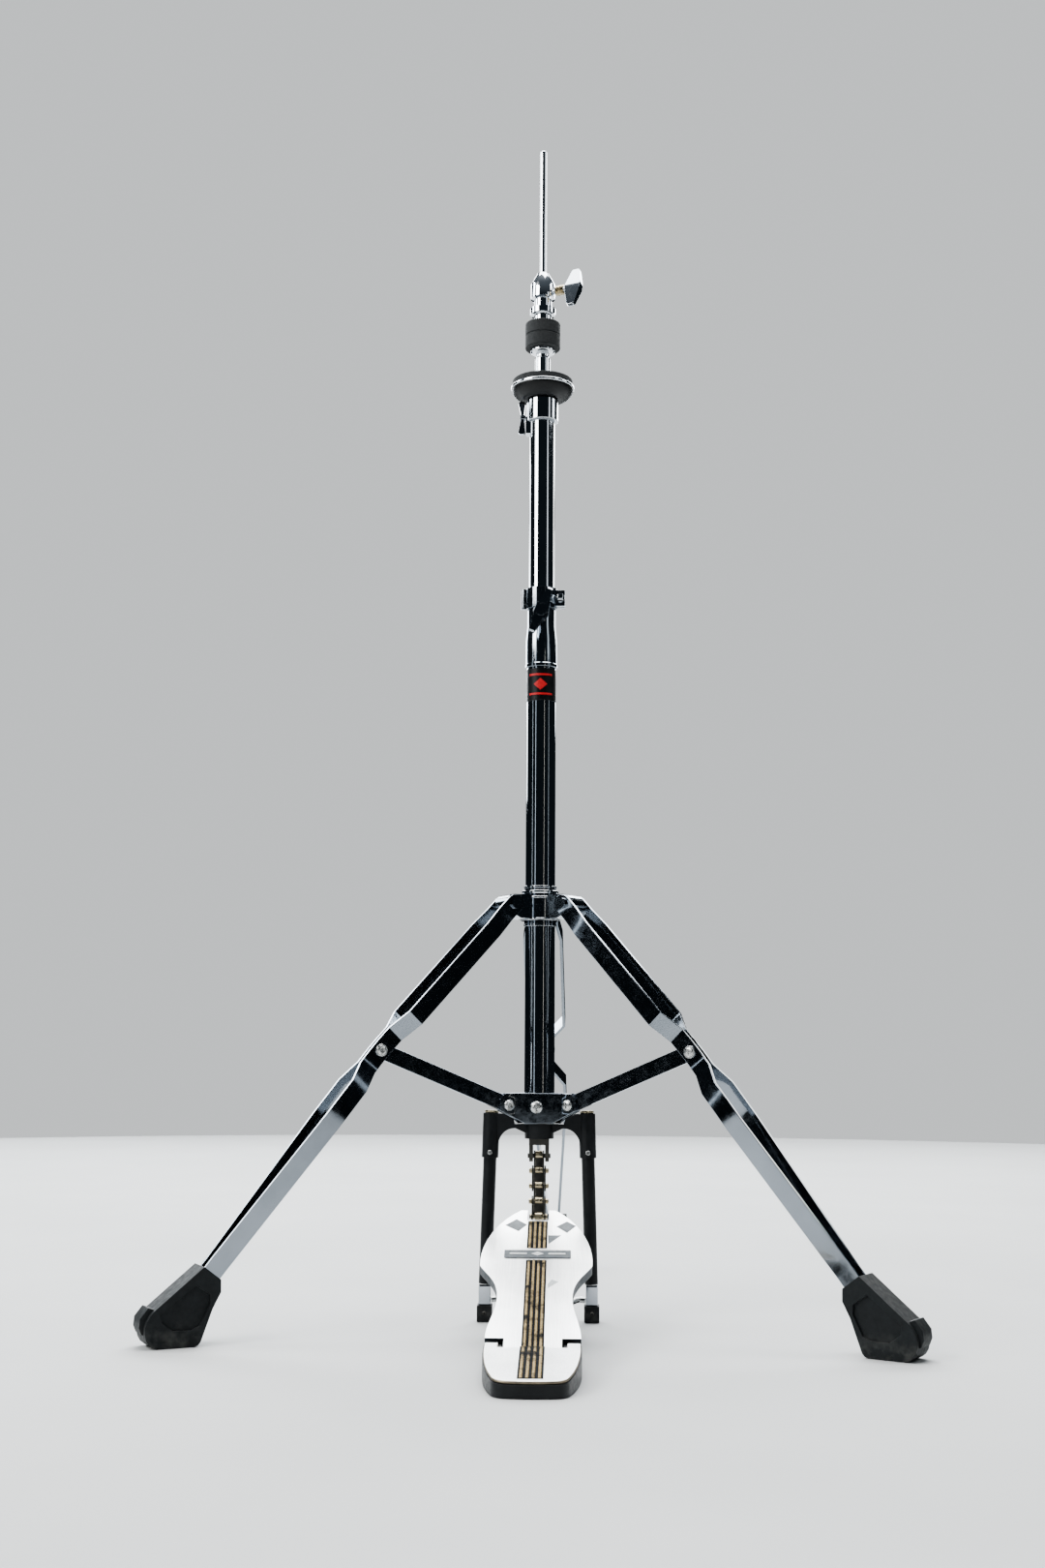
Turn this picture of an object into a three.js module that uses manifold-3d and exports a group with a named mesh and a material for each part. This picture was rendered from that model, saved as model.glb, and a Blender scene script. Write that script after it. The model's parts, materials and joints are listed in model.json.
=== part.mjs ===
// A hi-hat stand: a three-legged chrome stand with a height-adjustable tube, a pedal with
// its frame, a chain-driven pull rod, a tilting cymbal seat and a clutch for the top cymbal.
//
// Millimetres, +Z up. The origin is on the floor under the tube's axis. The pedal points
// towards -Y, so +X is the right-hand side of someone who looks at the pedal end.

import * as THREE from 'three';
import { mergeVertices } from 'three/addons/utils/BufferGeometryUtils.js';
import Module from 'manifold-3d';

const wasm = await Module();
wasm.setup();

// ---------------------------------------------------------------- driving dimensions

const ROUND = 32;                 // facets on a tube
const SMALL_ROUND = 16;           // facets on a pin or screw
const GAP = 0.3;                  // air left between pieces that only rest on each other
const FIT = 0.12;                 // radial clearance of a pin or tube in its hole

const LOWER_TUBE_R = 12.7;
const LOWER_TUBE_BORE = 11.35;
const LOWER_TUBE_BOTTOM = 158.7;
const LOWER_TUBE_TOP = 572;
const UPPER_TUBE_R = 11.1;
const UPPER_TUBE_BORE = 9.9;
const UPPER_TUBE_BOTTOM = 440;
const UPPER_TUBE_TOP = 790;

const LABEL_BOTTOM = 518.7;
const LABEL_TOP = 546.9;
const CLAMP_BOTTOM = 549.2;
const CLAMP_TOP = 601.2;
const CLAMP_BOLT_Z = 595;
const MEMORY_LOCK_TOP = 619.6;
const CAP_BOTTOM = 772.9;
const CAP_TOP = 792.6;
const TILTER_SCREW_Z = 776.8;
const SEAT_CUP_BOTTOM = 793.2;
const SEAT_PLATE_BOTTOM = 803;
const SEAT_FELT_TOP = 811.5;
const SEAT_R = 28.2;
const SEAT_POST_R = 6.75;
const SEAT_POST_TOP = 832.2;

const ROD_R = 3;
const ROD_TOP = 1031;
const ROD_SOCKET_BOTTOM = 262;
const ROD_SOCKET_TOP = 300;
const LOWER_ROD_R = 4;
const SPRING_COLLAR_Z = 236;
const SPRING_R = 7.9;
const SPRING_WIRE_R = 1.1;
const SPRING_TURNS = 8;

const CLUTCH_SLEEVE_END = 833.7;
const CLUTCH_NUT_BOTTOM = 837;
const CLUTCH_NUT_TOP = 841.3;
const CLUTCH_FELT_SEAM = 853.2;
const CLUTCH_FELT_TOP = 864.9;
const CLUTCH_FELT_R = 15.7;
const CLUTCH_SLEEVE_R = 5.7;
const CLUTCH_TOP = 912.5;
const CLUTCH_SCREW_Z = 894;
const CLUTCH_SCREW_AZIMUTH = -25; // degrees
const CLUTCH_WING_LEAN = (19 * Math.PI) / 180;

const LEG_SPIN = -2;              // degrees the leg set is turned round the tube
const LEG_AZIMUTHS = { right: -30 + LEG_SPIN, rear: 90 + LEG_SPIN, left: 210 + LEG_SPIN };
const HUB_PIVOT = { r: 30, z: 342 };
const KNEE = { r: 145.5, z: 219.3 };
const BRACKET_PIVOT = { r: 30, z: 174.4 };
const FOOT_ENTRY = { r: 280.5, z: 52 };
const STRIP_WIDTH = 15;
const STRIP_THICKNESS = 2.5;
const STRIP_SPREAD = 16;          // from the leg's middle plane to the middle of a strip
const STRIP_HUB_SPREAD = 12.5;
const STRIP_KNEE_SPREAD = 3.05;
const STRIP_FOOT_SPREAD = 5.5;
const STRUT_THICKNESS = 3;
const STRUT_WIDTH = 13;
const PIVOT_PIN_R = 3;

const HUB_BOTTOM = 330;
const HUB_TOP = 349;
const HUB_ARM_HALF_WIDTH = 10.9;
const HUB_BOLT_Z = 340;
const HUB_BOLT_AZIMUTH = LEG_AZIMUTHS.rear + 60;
const BRACKET_BOTTOM = 158.9;
const BRACKET_TOP = 184.2;

const BOOT_THICKNESS = 26;

const FRAME_HUB_R = 12.2;
const FRAME_HUB_BOTTOM = 146.5;
const FRAME_HUB_TOP = 158.3;
const FRAME_ROD_R = 5.5;
const FRAME_ROD_HEAD = new THREE.Vector3(40, 0, 168.5);
const FRAME_ROD_FOOT = new THREE.Vector3(43.7, -11.3, 29.3);
const FRAME_FOOT = { x: 44, y: -12, collarTop: 28.5, top: 13 };

const HINGE = { y: -240, z: 13, pinR: 2.5, pinHalfLength: 33 };
const BOARD_SLOPE = 17.33;        // degrees, with the pedal up
const BOARD_TOP = 5.15;           // from the hinge's axis up to the board's upper face
const BOARD_THICKNESS = 7;
const BOARD_LENGTH = 238;         // from the hinge's axis to the toe
const TONGUE_HALF_WIDTH = 20.4;
const TOE_SLOT_HALF_WIDTH = 8.6;
const STRIP_INLAY_HALF_WIDTH = 7.8;
const HEEL_NOTCH_HALF_WIDTH = 21.6;
const HEEL_FRONT_Y = -327;
const HEEL_BACK_Y = -232.5;
const HEEL_PLATE_BACK_Z = 20.2;
const HEEL_PLATE_SLOPE = 5.7;     // degrees
const HEEL_PLATE_THICKNESS = 2.2;

const CHAIN_PITCH = 12.7;
const CHAIN_TILT = 18.36;         // degrees from upright, with the pedal up
const YOKE_PIN_Z = 132.2;

// ---------------------------------------------------------------- materials

const FINISHES = {
  chrome: { color: 0xc9ced2, roughness: 0.12, metalness: 1 },
  black_chrome: { color: 0x8f979c, roughness: 0.18, metalness: 1 },
  steel: { color: 0x9aa0a2, roughness: 0.35, metalness: 1 },
  chain_steel: { color: 0x6f6a60, roughness: 0.4, metalness: 1 },
  black_paint: { color: 0x17191b, roughness: 0.45, metalness: 0.2 },
  black_plastic: { color: 0x1b1d1f, roughness: 0.5, metalness: 0 },
  rubber: { color: 0x1e2224, roughness: 0.75, metalness: 0 },
  felt: { color: 0x16181a, roughness: 0.95, metalness: 0 },
  label: { color: 0x1a1b1d, roughness: 0.4, metalness: 0 },
  aluminium: { color: 0xdfe2e2, roughness: 0.3, metalness: 1 },
  inlay: { color: 0x6d6046, roughness: 0.6, metalness: 0.2 },
};

// ---------------------------------------------------------------- solids

const radians = (angle) => (angle * Math.PI) / 180;
const vector = (x, y, z) => new THREE.Vector3(x, y, z);

/** A closed solid from a three.js geometry. */
function solid(geometry) {
  const plain = geometry.clone();
  plain.deleteAttribute('normal');
  plain.deleteAttribute('uv');
  const merged = mergeVertices(plain, 1e-3);
  const source = merged.index.array;
  const triangles = [];
  for (let i = 0; i < source.length; i += 3) {
    const [a, b, c] = [source[i], source[i + 1], source[i + 2]];
    if (a !== b && b !== c && c !== a) triangles.push(a, b, c);
  }
  const mesh = new wasm.Mesh({
    numProp: 3,
    vertProperties: Float32Array.from(merged.attributes.position.array),
    triVerts: Uint32Array.from(triangles),
  });
  return new wasm.Manifold(mesh);
}

/** A three.js geometry from a closed solid. */
function geometryOf(body) {
  const mesh = body.getMesh();
  const geometry = new THREE.BufferGeometry();
  geometry.setAttribute('position', new THREE.BufferAttribute(mesh.vertProperties, 3));
  geometry.setIndex(new THREE.BufferAttribute(mesh.triVerts, 1));
  const faceted = geometry.toNonIndexed();
  faceted.computeVertexNormals();
  return faceted;
}

const join = (...bodies) => bodies.reduce((sum, body) => sum.add(body));
const cut = (body, ...tools) => tools.reduce((rest, tool) => rest.subtract(tool), body);

/** Moves a solid by a three.js matrix. */
const placed = (body, matrix) => body.transform([...matrix.elements]);
const turnedAboutZ = (body, angle) => placed(body, new THREE.Matrix4().makeRotationZ(radians(angle)));

/** A turned piece about Z from [radius, height] points, listed with the solid on their left. */
function turned(profile, facets = ROUND) {
  const points = profile.map(([radius, height]) => new THREE.Vector2(radius, height));
  const first = points[0];
  if (first.x > 0) points.push(first.clone());
  return solid(new THREE.LatheGeometry(points, facets).rotateX(Math.PI / 2));
}

/** A plain tube about Z. */
function tube(inner, outer, bottom, top, facets = ROUND) {
  return turned([[inner, bottom], [outer, bottom], [outer, top], [inner, top]], facets);
}

/** A plain solid round about Z. */
function plug(radius, bottom, top) {
  return turned([[0, bottom], [radius, bottom], [radius, top], [0, top]]);
}

/** A cylinder from one point to another. */
function bar(radius, from, to, facets = SMALL_ROUND) {
  const along = to.clone().sub(from);
  const geometry = new THREE.CylinderGeometry(radius, radius, along.length(), facets);
  const turn = new THREE.Quaternion().setFromUnitVectors(vector(0, 1, 0), along.clone().normalize());
  geometry.applyQuaternion(turn);
  const middle = from.clone().add(to).multiplyScalar(0.5);
  return solid(geometry.translate(middle.x, middle.y, middle.z));
}

/** A block between two corners. */
function block(low, high) {
  const size = high.clone().sub(low);
  const middle = high.clone().add(low).multiplyScalar(0.5);
  return solid(new THREE.BoxGeometry(size.x, size.y, size.z).translate(middle.x, middle.y, middle.z));
}

/** A shape drawn in plan, raised from one height to another. */
function raised(shape, bottom, top, curveFacets = 8) {
  const options = { depth: top - bottom, bevelEnabled: false, curveSegments: curveFacets };
  return solid(new THREE.ExtrudeGeometry(shape, options).translate(0, 0, bottom));
}

/** A shape drawn from the front, across X and up Z, thick from one Y to another. */
function upright(shape, yLow, yHigh, curveFacets = 8) {
  const options = { depth: yHigh - yLow, bevelEnabled: false, curveSegments: curveFacets };
  const geometry = new THREE.ExtrudeGeometry(shape, options);
  return solid(geometry.rotateX(Math.PI / 2).translate(0, yHigh, 0));
}

const polygon = (points) => new THREE.Shape(points.map(([x, y]) => new THREE.Vector2(x, y)));

/** The two long sides of a bent strip of constant thickness, from the line along its middle. */
function bandSides(line, thickness) {
  const left = [];
  const right = [];
  line.forEach(([x, y], i) => {
    const before = line[Math.max(i - 1, 0)];
    const after = line[Math.min(i + 1, line.length - 1)];
    const into = new THREE.Vector2(x - before[0], y - before[1]);
    const out = new THREE.Vector2(after[0] - x, after[1] - y);
    if (i === 0) into.copy(out);
    if (i === line.length - 1) out.copy(into);
    into.normalize();
    out.normalize();
    const normal = new THREE.Vector2(-(into.y + out.y), into.x + out.x).normalize();
    const reach = thickness / 2 / (normal.x * -into.y + normal.y * into.x);
    left.push([x + normal.x * reach, y + normal.y * reach]);
    right.push([x - normal.x * reach, y - normal.y * reach]);
  });
  return { left, right };
}

/**
 * A screw with two wings: it points along +Z, with its tip at the origin. Root sizes are at
 * the hub and tip sizes at the wings' ends; rise is how far the ends lean outward.
 */
function wingScrew({ shankR, shank, hubR, hub, middle, span, rise, root, tip }) {
  const end = span / 2;
  const half = [
    [0.8 * hubR, middle - root.height / 2],
    [end - 1.5, middle + rise - tip.height / 2],
    [end, middle + rise - tip.height / 2 + 1.2],
    [end, middle + rise + tip.height / 2 - 1.2],
    [end - 1.5, middle + rise + tip.height / 2],
    [0.8 * hubR, middle + root.height / 2],
  ];
  const otherHalf = half.map(([x, z]) => [-x, z]).reverse();
  const side = upright(polygon([...half, ...otherHalf]), -root.thickness / 2, root.thickness / 2);
  const face = raised(polygon([
    [-end, -tip.thickness / 2], [-0.5 * hubR, -root.thickness / 2], [0.5 * hubR, -root.thickness / 2],
    [end, -tip.thickness / 2], [end, tip.thickness / 2], [0.5 * hubR, root.thickness / 2],
    [-0.5 * hubR, root.thickness / 2], [-end, tip.thickness / 2],
  ]), -5, shank + hub + 30);
  return join(
    bar(shankR, vector(0, 0, 0), vector(0, 0, shank + 1)),
    bar(hubR, vector(0, 0, shank), vector(0, 0, shank + hub)),
    side.intersect(face),
  );
}

/** Puts a screw that points along +Z at a place, facing outward, with its wings along span. */
function aimed(screw, tip, outward, span) {
  const across = new THREE.Vector3().crossVectors(outward, span);
  const matrix = new THREE.Matrix4().makeBasis(span, across, outward).setPosition(tip);
  return placed(screw, matrix);
}

// ---------------------------------------------------------------- the assembly

const stand = new THREE.Group();
stand.name = 'hi_hat_stand';

function add(name, body, finish) {
  const material = new THREE.MeshStandardMaterial({ name, ...FINISHES[finish] });
  const mesh = new THREE.Mesh(geometryOf(body), material);
  mesh.name = name;
  stand.add(mesh);
}

// ---------------------------------------------------------------- lower column

add('lower_tube', tube(LOWER_TUBE_BORE, LOWER_TUBE_R, LOWER_TUBE_BOTTOM, LOWER_TUBE_TOP), 'chrome');
add('label_band', tube(LOWER_TUBE_R + 0.05, LOWER_TUBE_R + 0.4, LABEL_BOTTOM, LABEL_TOP), 'label');

/** The height clamp: a sleeve over the lower tube with a neck and a screw boss above it. */
function heightClamp() {
  const overTube = LOWER_TUBE_R + FIT;
  const aroundUpper = UPPER_TUBE_R + FIT;
  const body = turned([
    [overTube, CLAMP_BOTTOM],
    [14, CLAMP_BOTTOM],
    [14, CLAMP_BOTTOM + 2.4],
    [13.6, CLAMP_BOTTOM + 3],
    [13.6, LOWER_TUBE_TOP + 0.8],
    [12.3, 585.5],
    [12.3, CLAMP_TOP],
    [aroundUpper, CLAMP_TOP],
    [aroundUpper, LOWER_TUBE_TOP + GAP],
    [overTube, LOWER_TUBE_TOP + GAP],
  ]);
  const boss = bar(6.1, vector(0, -11.5, CLAMP_BOLT_Z), vector(0, -20.5, CLAMP_BOLT_Z));
  const bore = plug(aroundUpper, 560, CLAMP_TOP + 1);
  const thread = bar(PIVOT_PIN_R + FIT, vector(0, -8, CLAMP_BOLT_Z), vector(0, -24, CLAMP_BOLT_Z));
  return cut(join(body, cut(boss, bore)), thread);
}

add('height_clamp', heightClamp(), 'black_chrome');

const clampBolt = wingScrew({
  shankR: PIVOT_PIN_R,
  shank: 10,
  hubR: 5.4,
  hub: 8.4,
  middle: 14,
  span: 42,
  rise: 0,
  root: { height: 8, thickness: 11 },
  tip: { height: 6.4, thickness: 4 },
});
const clampWingTilt = radians(23);
const clampWings = vector(Math.sin(clampWingTilt), 0, Math.cos(clampWingTilt));
const clampBoltTip = vector(0, -UPPER_TUBE_R - 0.2, CLAMP_BOLT_Z);
add('clamp_wing_bolt', aimed(clampBolt, clampBoltTip, vector(0, -1, 0), clampWings), 'chrome');

// ---------------------------------------------------------------- strut bracket

/** One of the three bent plates round the tube; its middle faces -Y before it is turned. */
function bracketPlate() {
  const strut = new THREE.Vector2(Math.cos(radians(-30)), Math.sin(radians(-30)));
  const side = new THREE.Vector2(strut.y, -strut.x);
  const thickness = 2;
  const face = -(LOWER_TUBE_R + 0.4 + thickness / 2);
  const offset = STRUT_THICKNESS / 2 + GAP + thickness / 2;
  const earPoint = (reach) => [strut.x * reach + side.x * offset, strut.y * reach + side.y * offset];
  const bendReach = (face - side.y * offset) / strut.y;
  const [endX, endY] = earPoint(38);
  const [bendX] = earPoint(bendReach);
  const bends = [[-endX, endY], [-bendX, face], [bendX, face], [endX, endY]];
  const { left, right } = bandSides(bends, thickness);
  const band = raised(polygon([...left, ...right.reverse()]), BRACKET_BOTTOM - 5, BRACKET_TOP + 5);
  const outline = polygon([
    [-11, BRACKET_BOTTOM], [11, BRACKET_BOTTOM], [endX, 170], [endX + 1.2, 178], [endX - 4, BRACKET_TOP],
    [-endX + 4, BRACKET_TOP], [-endX - 1.2, 178], [-endX, 170],
  ]);
  return band.intersect(upright(outline, -40, 0));
}

/** The two holes for the strut pins at the ends of a bracket plate. */
function strutPinHoles() {
  const { r, z } = BRACKET_PIVOT;
  const hole = () => bar(PIVOT_PIN_R + FIT, vector(r, -9, z), vector(r, 9, z));
  return [-30, -150].map((azimuth) => turnedAboutZ(hole(), azimuth));
}

for (const [name, turn] of [['front', 0], ['right', 120], ['left', 240]]) {
  const plate = cut(bracketPlate(), ...strutPinHoles());
  add(`bracket_plate_${name}`, turnedAboutZ(plate, turn + LEG_SPIN), 'black_chrome');
}

/** A headed pin along Y through a pair of ears, at a pivot in a leg's plane. */
function headedPin(pivot, halfLength, headR, head) {
  const at = (y) => vector(pivot.r, y, pivot.z);
  return join(
    bar(PIVOT_PIN_R, at(-halfLength), at(halfLength)),
    bar(headR, at(-halfLength - head), at(-halfLength)),
    bar(headR, at(halfLength), at(halfLength + head)),
  );
}

// ---------------------------------------------------------------- legs

const UPPER_RUN = Math.hypot(KNEE.r - HUB_PIVOT.r, KNEE.z - HUB_PIVOT.z);
const LOWER_RUN = Math.hypot(FOOT_ENTRY.r - KNEE.r, FOOT_ENTRY.z - KNEE.z);
const STRIP_END = UPPER_RUN + LOWER_RUN + 9;

/** The point at a distance along the leg, at an offset across a strip's width and off the plane. */
function legPoint(distance, across, off) {
  const upper = vector(KNEE.r - HUB_PIVOT.r, 0, KNEE.z - HUB_PIVOT.z).normalize();
  const lower = vector(FOOT_ENTRY.r - KNEE.r, 0, FOOT_ENTRY.z - KNEE.z).normalize();
  const blend = THREE.MathUtils.smoothstep(distance, UPPER_RUN - 8, UPPER_RUN + 8);
  const along = upper.clone().lerp(lower, blend).normalize();
  const normal = vector(-along.z, 0, along.x);
  const knee = vector(KNEE.r, 0, KNEE.z);
  const run = distance < UPPER_RUN ? upper : lower;
  knee.addScaledVector(run, distance - UPPER_RUN);
  return knee.addScaledVector(normal, across).add(vector(0, off, 0));
}

/** A flat strip of the leg, bent in to the strut at the knee and in again towards the foot. */
function legStrip(side) {
  const line = [
    [-7.4, STRIP_HUB_SPREAD],
    [-6, STRIP_HUB_SPREAD],
    [-3.4, STRIP_HUB_SPREAD],
    [0, STRIP_HUB_SPREAD],
    [13, STRIP_HUB_SPREAD],
    [31, STRIP_SPREAD],
    [UPPER_RUN - 36, STRIP_SPREAD],
    [UPPER_RUN - 18, STRIP_KNEE_SPREAD],
    [UPPER_RUN - 6, STRIP_KNEE_SPREAD],
    [UPPER_RUN + 6, STRIP_KNEE_SPREAD],
    [UPPER_RUN + 18, STRIP_KNEE_SPREAD],
    [UPPER_RUN + 36, STRIP_SPREAD - 1],
    [UPPER_RUN + 70, STRIP_SPREAD - 1],
    [UPPER_RUN + LOWER_RUN - 8, STRIP_FOOT_SPREAD],
    [STRIP_END, STRIP_FOOT_SPREAD],
  ];
  const halfWidths = line.map(([distance]) => {
    const fromPivot = Math.min(distance, 0);
    return Math.sqrt(Math.max((STRIP_WIDTH / 2) ** 2 - fromPivot ** 2, 1));
  });
  const { left, right } = bandSides(line, STRIP_THICKNESS);
  const positions = [];
  left.forEach(([distance, off], i) => {
    const [otherDistance, otherOff] = right[i];
    const half = halfWidths[i];
    positions.push(legPoint(distance, -half, off), legPoint(distance, half, off));
    positions.push(legPoint(otherDistance, half, otherOff), legPoint(otherDistance, -half, otherOff));
  });
  const triangles = [0, 2, 1, 0, 3, 2];
  const last = 4 * (line.length - 1);
  for (let i = 0; i < last; i += 4) {
    for (let k = 0; k < 4; k += 1) {
      const next = (k + 1) % 4;
      triangles.push(i + k, i + next, i + 4 + next, i + k, i + 4 + next, i + 4 + k);
    }
  }
  triangles.push(last, last + 1, last + 2, last, last + 2, last + 3);
  const geometry = new THREE.BufferGeometry().setFromPoints(positions);
  geometry.setIndex(triangles);
  const whole = solid(geometry);
  const hole = ({ r, z }) => bar(PIVOT_PIN_R + FIT, vector(r, 0, z), vector(r, 25, z));
  const drilled = cut(whole, hole(HUB_PIVOT), hole(KNEE));
  return side > 0 ? drilled : drilled.mirror([0, 1, 0]);
}

/** A flat bar with round ends from the bracket to the knee. */
function strut() {
  const half = STRUT_WIDTH / 2;
  const length = Math.hypot(KNEE.r - BRACKET_PIVOT.r, KNEE.z - BRACKET_PIVOT.z);
  const shape = new THREE.Shape();
  shape.moveTo(0, -half);
  shape.lineTo(length, -half);
  shape.absarc(length, 0, half, -Math.PI / 2, Math.PI / 2, false);
  shape.lineTo(0, half);
  shape.absarc(0, 0, half, Math.PI / 2, 1.5 * Math.PI, false);
  const flat = upright(shape, -STRUT_THICKNESS / 2, STRUT_THICKNESS / 2, 10);
  const pitch = Math.atan2(KNEE.z - BRACKET_PIVOT.z, KNEE.r - BRACKET_PIVOT.r);
  const matrix = new THREE.Matrix4().makeRotationY(-pitch).setPosition(BRACKET_PIVOT.r, 0, BRACKET_PIVOT.z);
  const eye = bar(PIVOT_PIN_R + FIT, vector(BRACKET_PIVOT.r, -4, BRACKET_PIVOT.z),
    vector(BRACKET_PIVOT.r, 4, BRACKET_PIVOT.z));
  return cut(placed(flat, matrix), eye);
}

/** The screw head and its shank in the outer strip at the knee, on the side given. */
function kneeScrew(side) {
  const inner = STRIP_KNEE_SPREAD - STRIP_THICKNESS / 2;
  const outer = STRIP_KNEE_SPREAD + STRIP_THICKNESS / 2 + 0.1;
  const at = (off) => vector(KNEE.r, side * off, KNEE.z);
  return join(
    bar(PIVOT_PIN_R, at(inner), at(outer + 0.5)),
    bar(5, at(outer), at(outer + 1.4)),
    bar(3.9, at(outer + 1.4), at(outer + 2.4)),
  );
}

/** The rubber boot on a foot, with a socket for the two strips. */
function boot() {
  const outline = new THREE.Shape();
  outline.moveTo(275.5, 47.6);
  outline.lineTo(275.3, 38.5);
  outline.lineTo(281.4, 26.8);
  outline.lineTo(289.6, 4);
  outline.quadraticCurveTo(291.2, 0, 295, 0);
  outline.lineTo(323, 0);
  outline.quadraticCurveTo(331, 1, 332.6, 11);
  outline.quadraticCurveTo(333.5, 20, 325.6, 27.6);
  outline.lineTo(288.8, 57.6);
  const half = BOOT_THICKNESS / 2;
  const body = upright(outline, -half, half, 4);
  const toeShape = polygon([[327, 8], [334, 10.5], [336, 15.5], [335.4, 22], [329.5, 29.5], [322, 27]]);
  const toe = upright(toeShape, -half + 4, half - 4);
  const low = legPoint(UPPER_RUN + LOWER_RUN - 12, 0, 0);
  const along = legPoint(STRIP_END + 1, 0, 0).sub(low);
  const halfThick = STRIP_FOOT_SPREAD + STRIP_THICKNESS / 2 + 0.35;
  const halfWide = STRIP_WIDTH / 2 + 0.35;
  const socketShape = polygon([
    [0, -halfWide], [along.length(), -halfWide], [along.length(), halfWide], [0, halfWide],
  ]);
  const pitch = Math.atan2(along.z, along.x);
  const matrix = new THREE.Matrix4().makeRotationY(-pitch).setPosition(low.x, 0, low.z);
  const socket = placed(upright(socketShape, -halfThick, halfThick), matrix);
  return cut(join(body, toe), socket);
}

const frontSide = { right: -1, left: 1, rear: -1 };
const stripNames = { right: ['front', 'back'], left: ['front', 'back'], rear: ['right', 'left'] };

for (const [leg, azimuth] of Object.entries(LEG_AZIMUTHS)) {
  const [shown, hidden] = stripNames[leg];
  const side = frontSide[leg];
  add(`leg_${leg}_strip_${shown}`, turnedAboutZ(legStrip(side), azimuth), 'chrome');
  add(`leg_${leg}_strip_${hidden}`, turnedAboutZ(legStrip(-side), azimuth), 'chrome');
  add(`boot_${leg}`, turnedAboutZ(boot(), azimuth), 'rubber');
  add(`knee_screw_${leg}`, turnedAboutZ(kneeScrew(side), azimuth), 'steel');
  add(`strut_${leg}`, turnedAboutZ(strut(), azimuth), 'black_chrome');
  add(`strut_pin_${leg}`, turnedAboutZ(headedPin(BRACKET_PIVOT, 4.1, 4.6, 2), azimuth), 'steel');
}

/** The sliding hub: a turned core with three arms, each with its riveted leg pin. */
function legHub() {
  let hub = turned([
    [LOWER_TUBE_R + FIT, 323.8],
    [13.7, 323.8],
    [13.7, 328.8],
    [16.6, 328.8],
    [16.6, HUB_TOP],
    [14.4, HUB_TOP],
    [14.4, 351.8],
    [15.4, 351.8],
    [15.4, 354.4],
    [13.7, 354.4],
    [13.7, 358.3],
    [LOWER_TUBE_R + FIT, 358.3],
  ]);
  const arm = new THREE.Shape();
  arm.moveTo(14, HUB_BOTTOM);
  arm.lineTo(24, HUB_BOTTOM);
  arm.lineTo(35.5, 336.5);
  arm.absarc(HUB_PIVOT.r, HUB_PIVOT.z, 7.8, radians(-45), radians(60), false);
  arm.lineTo(30, 350);
  arm.lineTo(14, 350);
  const stripFace = STRIP_HUB_SPREAD + STRIP_THICKNESS / 2 + GAP;
  for (const azimuth of Object.values(LEG_AZIMUTHS)) {
    const lug = upright(arm, -HUB_ARM_HALF_WIDTH, HUB_ARM_HALF_WIDTH, 6);
    hub = hub.add(turnedAboutZ(join(lug, headedPin(HUB_PIVOT, stripFace, 4.6, 2)), azimuth));
  }
  const bossFrom = vector(13.5, 0, HUB_BOLT_Z);
  const boss = bar(6, bossFrom, vector(24.5, 0, HUB_BOLT_Z));
  const thread = bar(PIVOT_PIN_R + FIT, vector(8, 0, HUB_BOLT_Z), vector(30, 0, HUB_BOLT_Z));
  hub = cut(hub.add(turnedAboutZ(boss, HUB_BOLT_AZIMUTH)), turnedAboutZ(thread, HUB_BOLT_AZIMUTH));
  return cut(hub, plug(LOWER_TUBE_R + FIT, 320, 362));
}

add('leg_hub', legHub(), 'black_chrome');

const hubBolt = wingScrew({
  shankR: PIVOT_PIN_R,
  shank: 17,
  hubR: 4.8,
  hub: 7,
  middle: 21.5,
  span: 28,
  rise: 2,
  root: { height: 6, thickness: 8 },
  tip: { height: 6, thickness: 3.6 },
});
const hubBoltAngle = radians(HUB_BOLT_AZIMUTH);
const hubBoltOut = vector(Math.cos(hubBoltAngle), Math.sin(hubBoltAngle), 0);
const hubBoltWings = vector(-hubBoltOut.y, hubBoltOut.x, 0);
const hubBoltTip = hubBoltOut.clone().multiplyScalar(LOWER_TUBE_R + 0.25).setZ(HUB_BOLT_Z);
add('hub_wing_bolt', aimed(hubBolt, hubBoltTip, hubBoltOut, hubBoltWings), 'chrome');

// ---------------------------------------------------------------- pedal frame

const sideways = (point, side) => vector(side * point.x, point.y, point.z);

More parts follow.
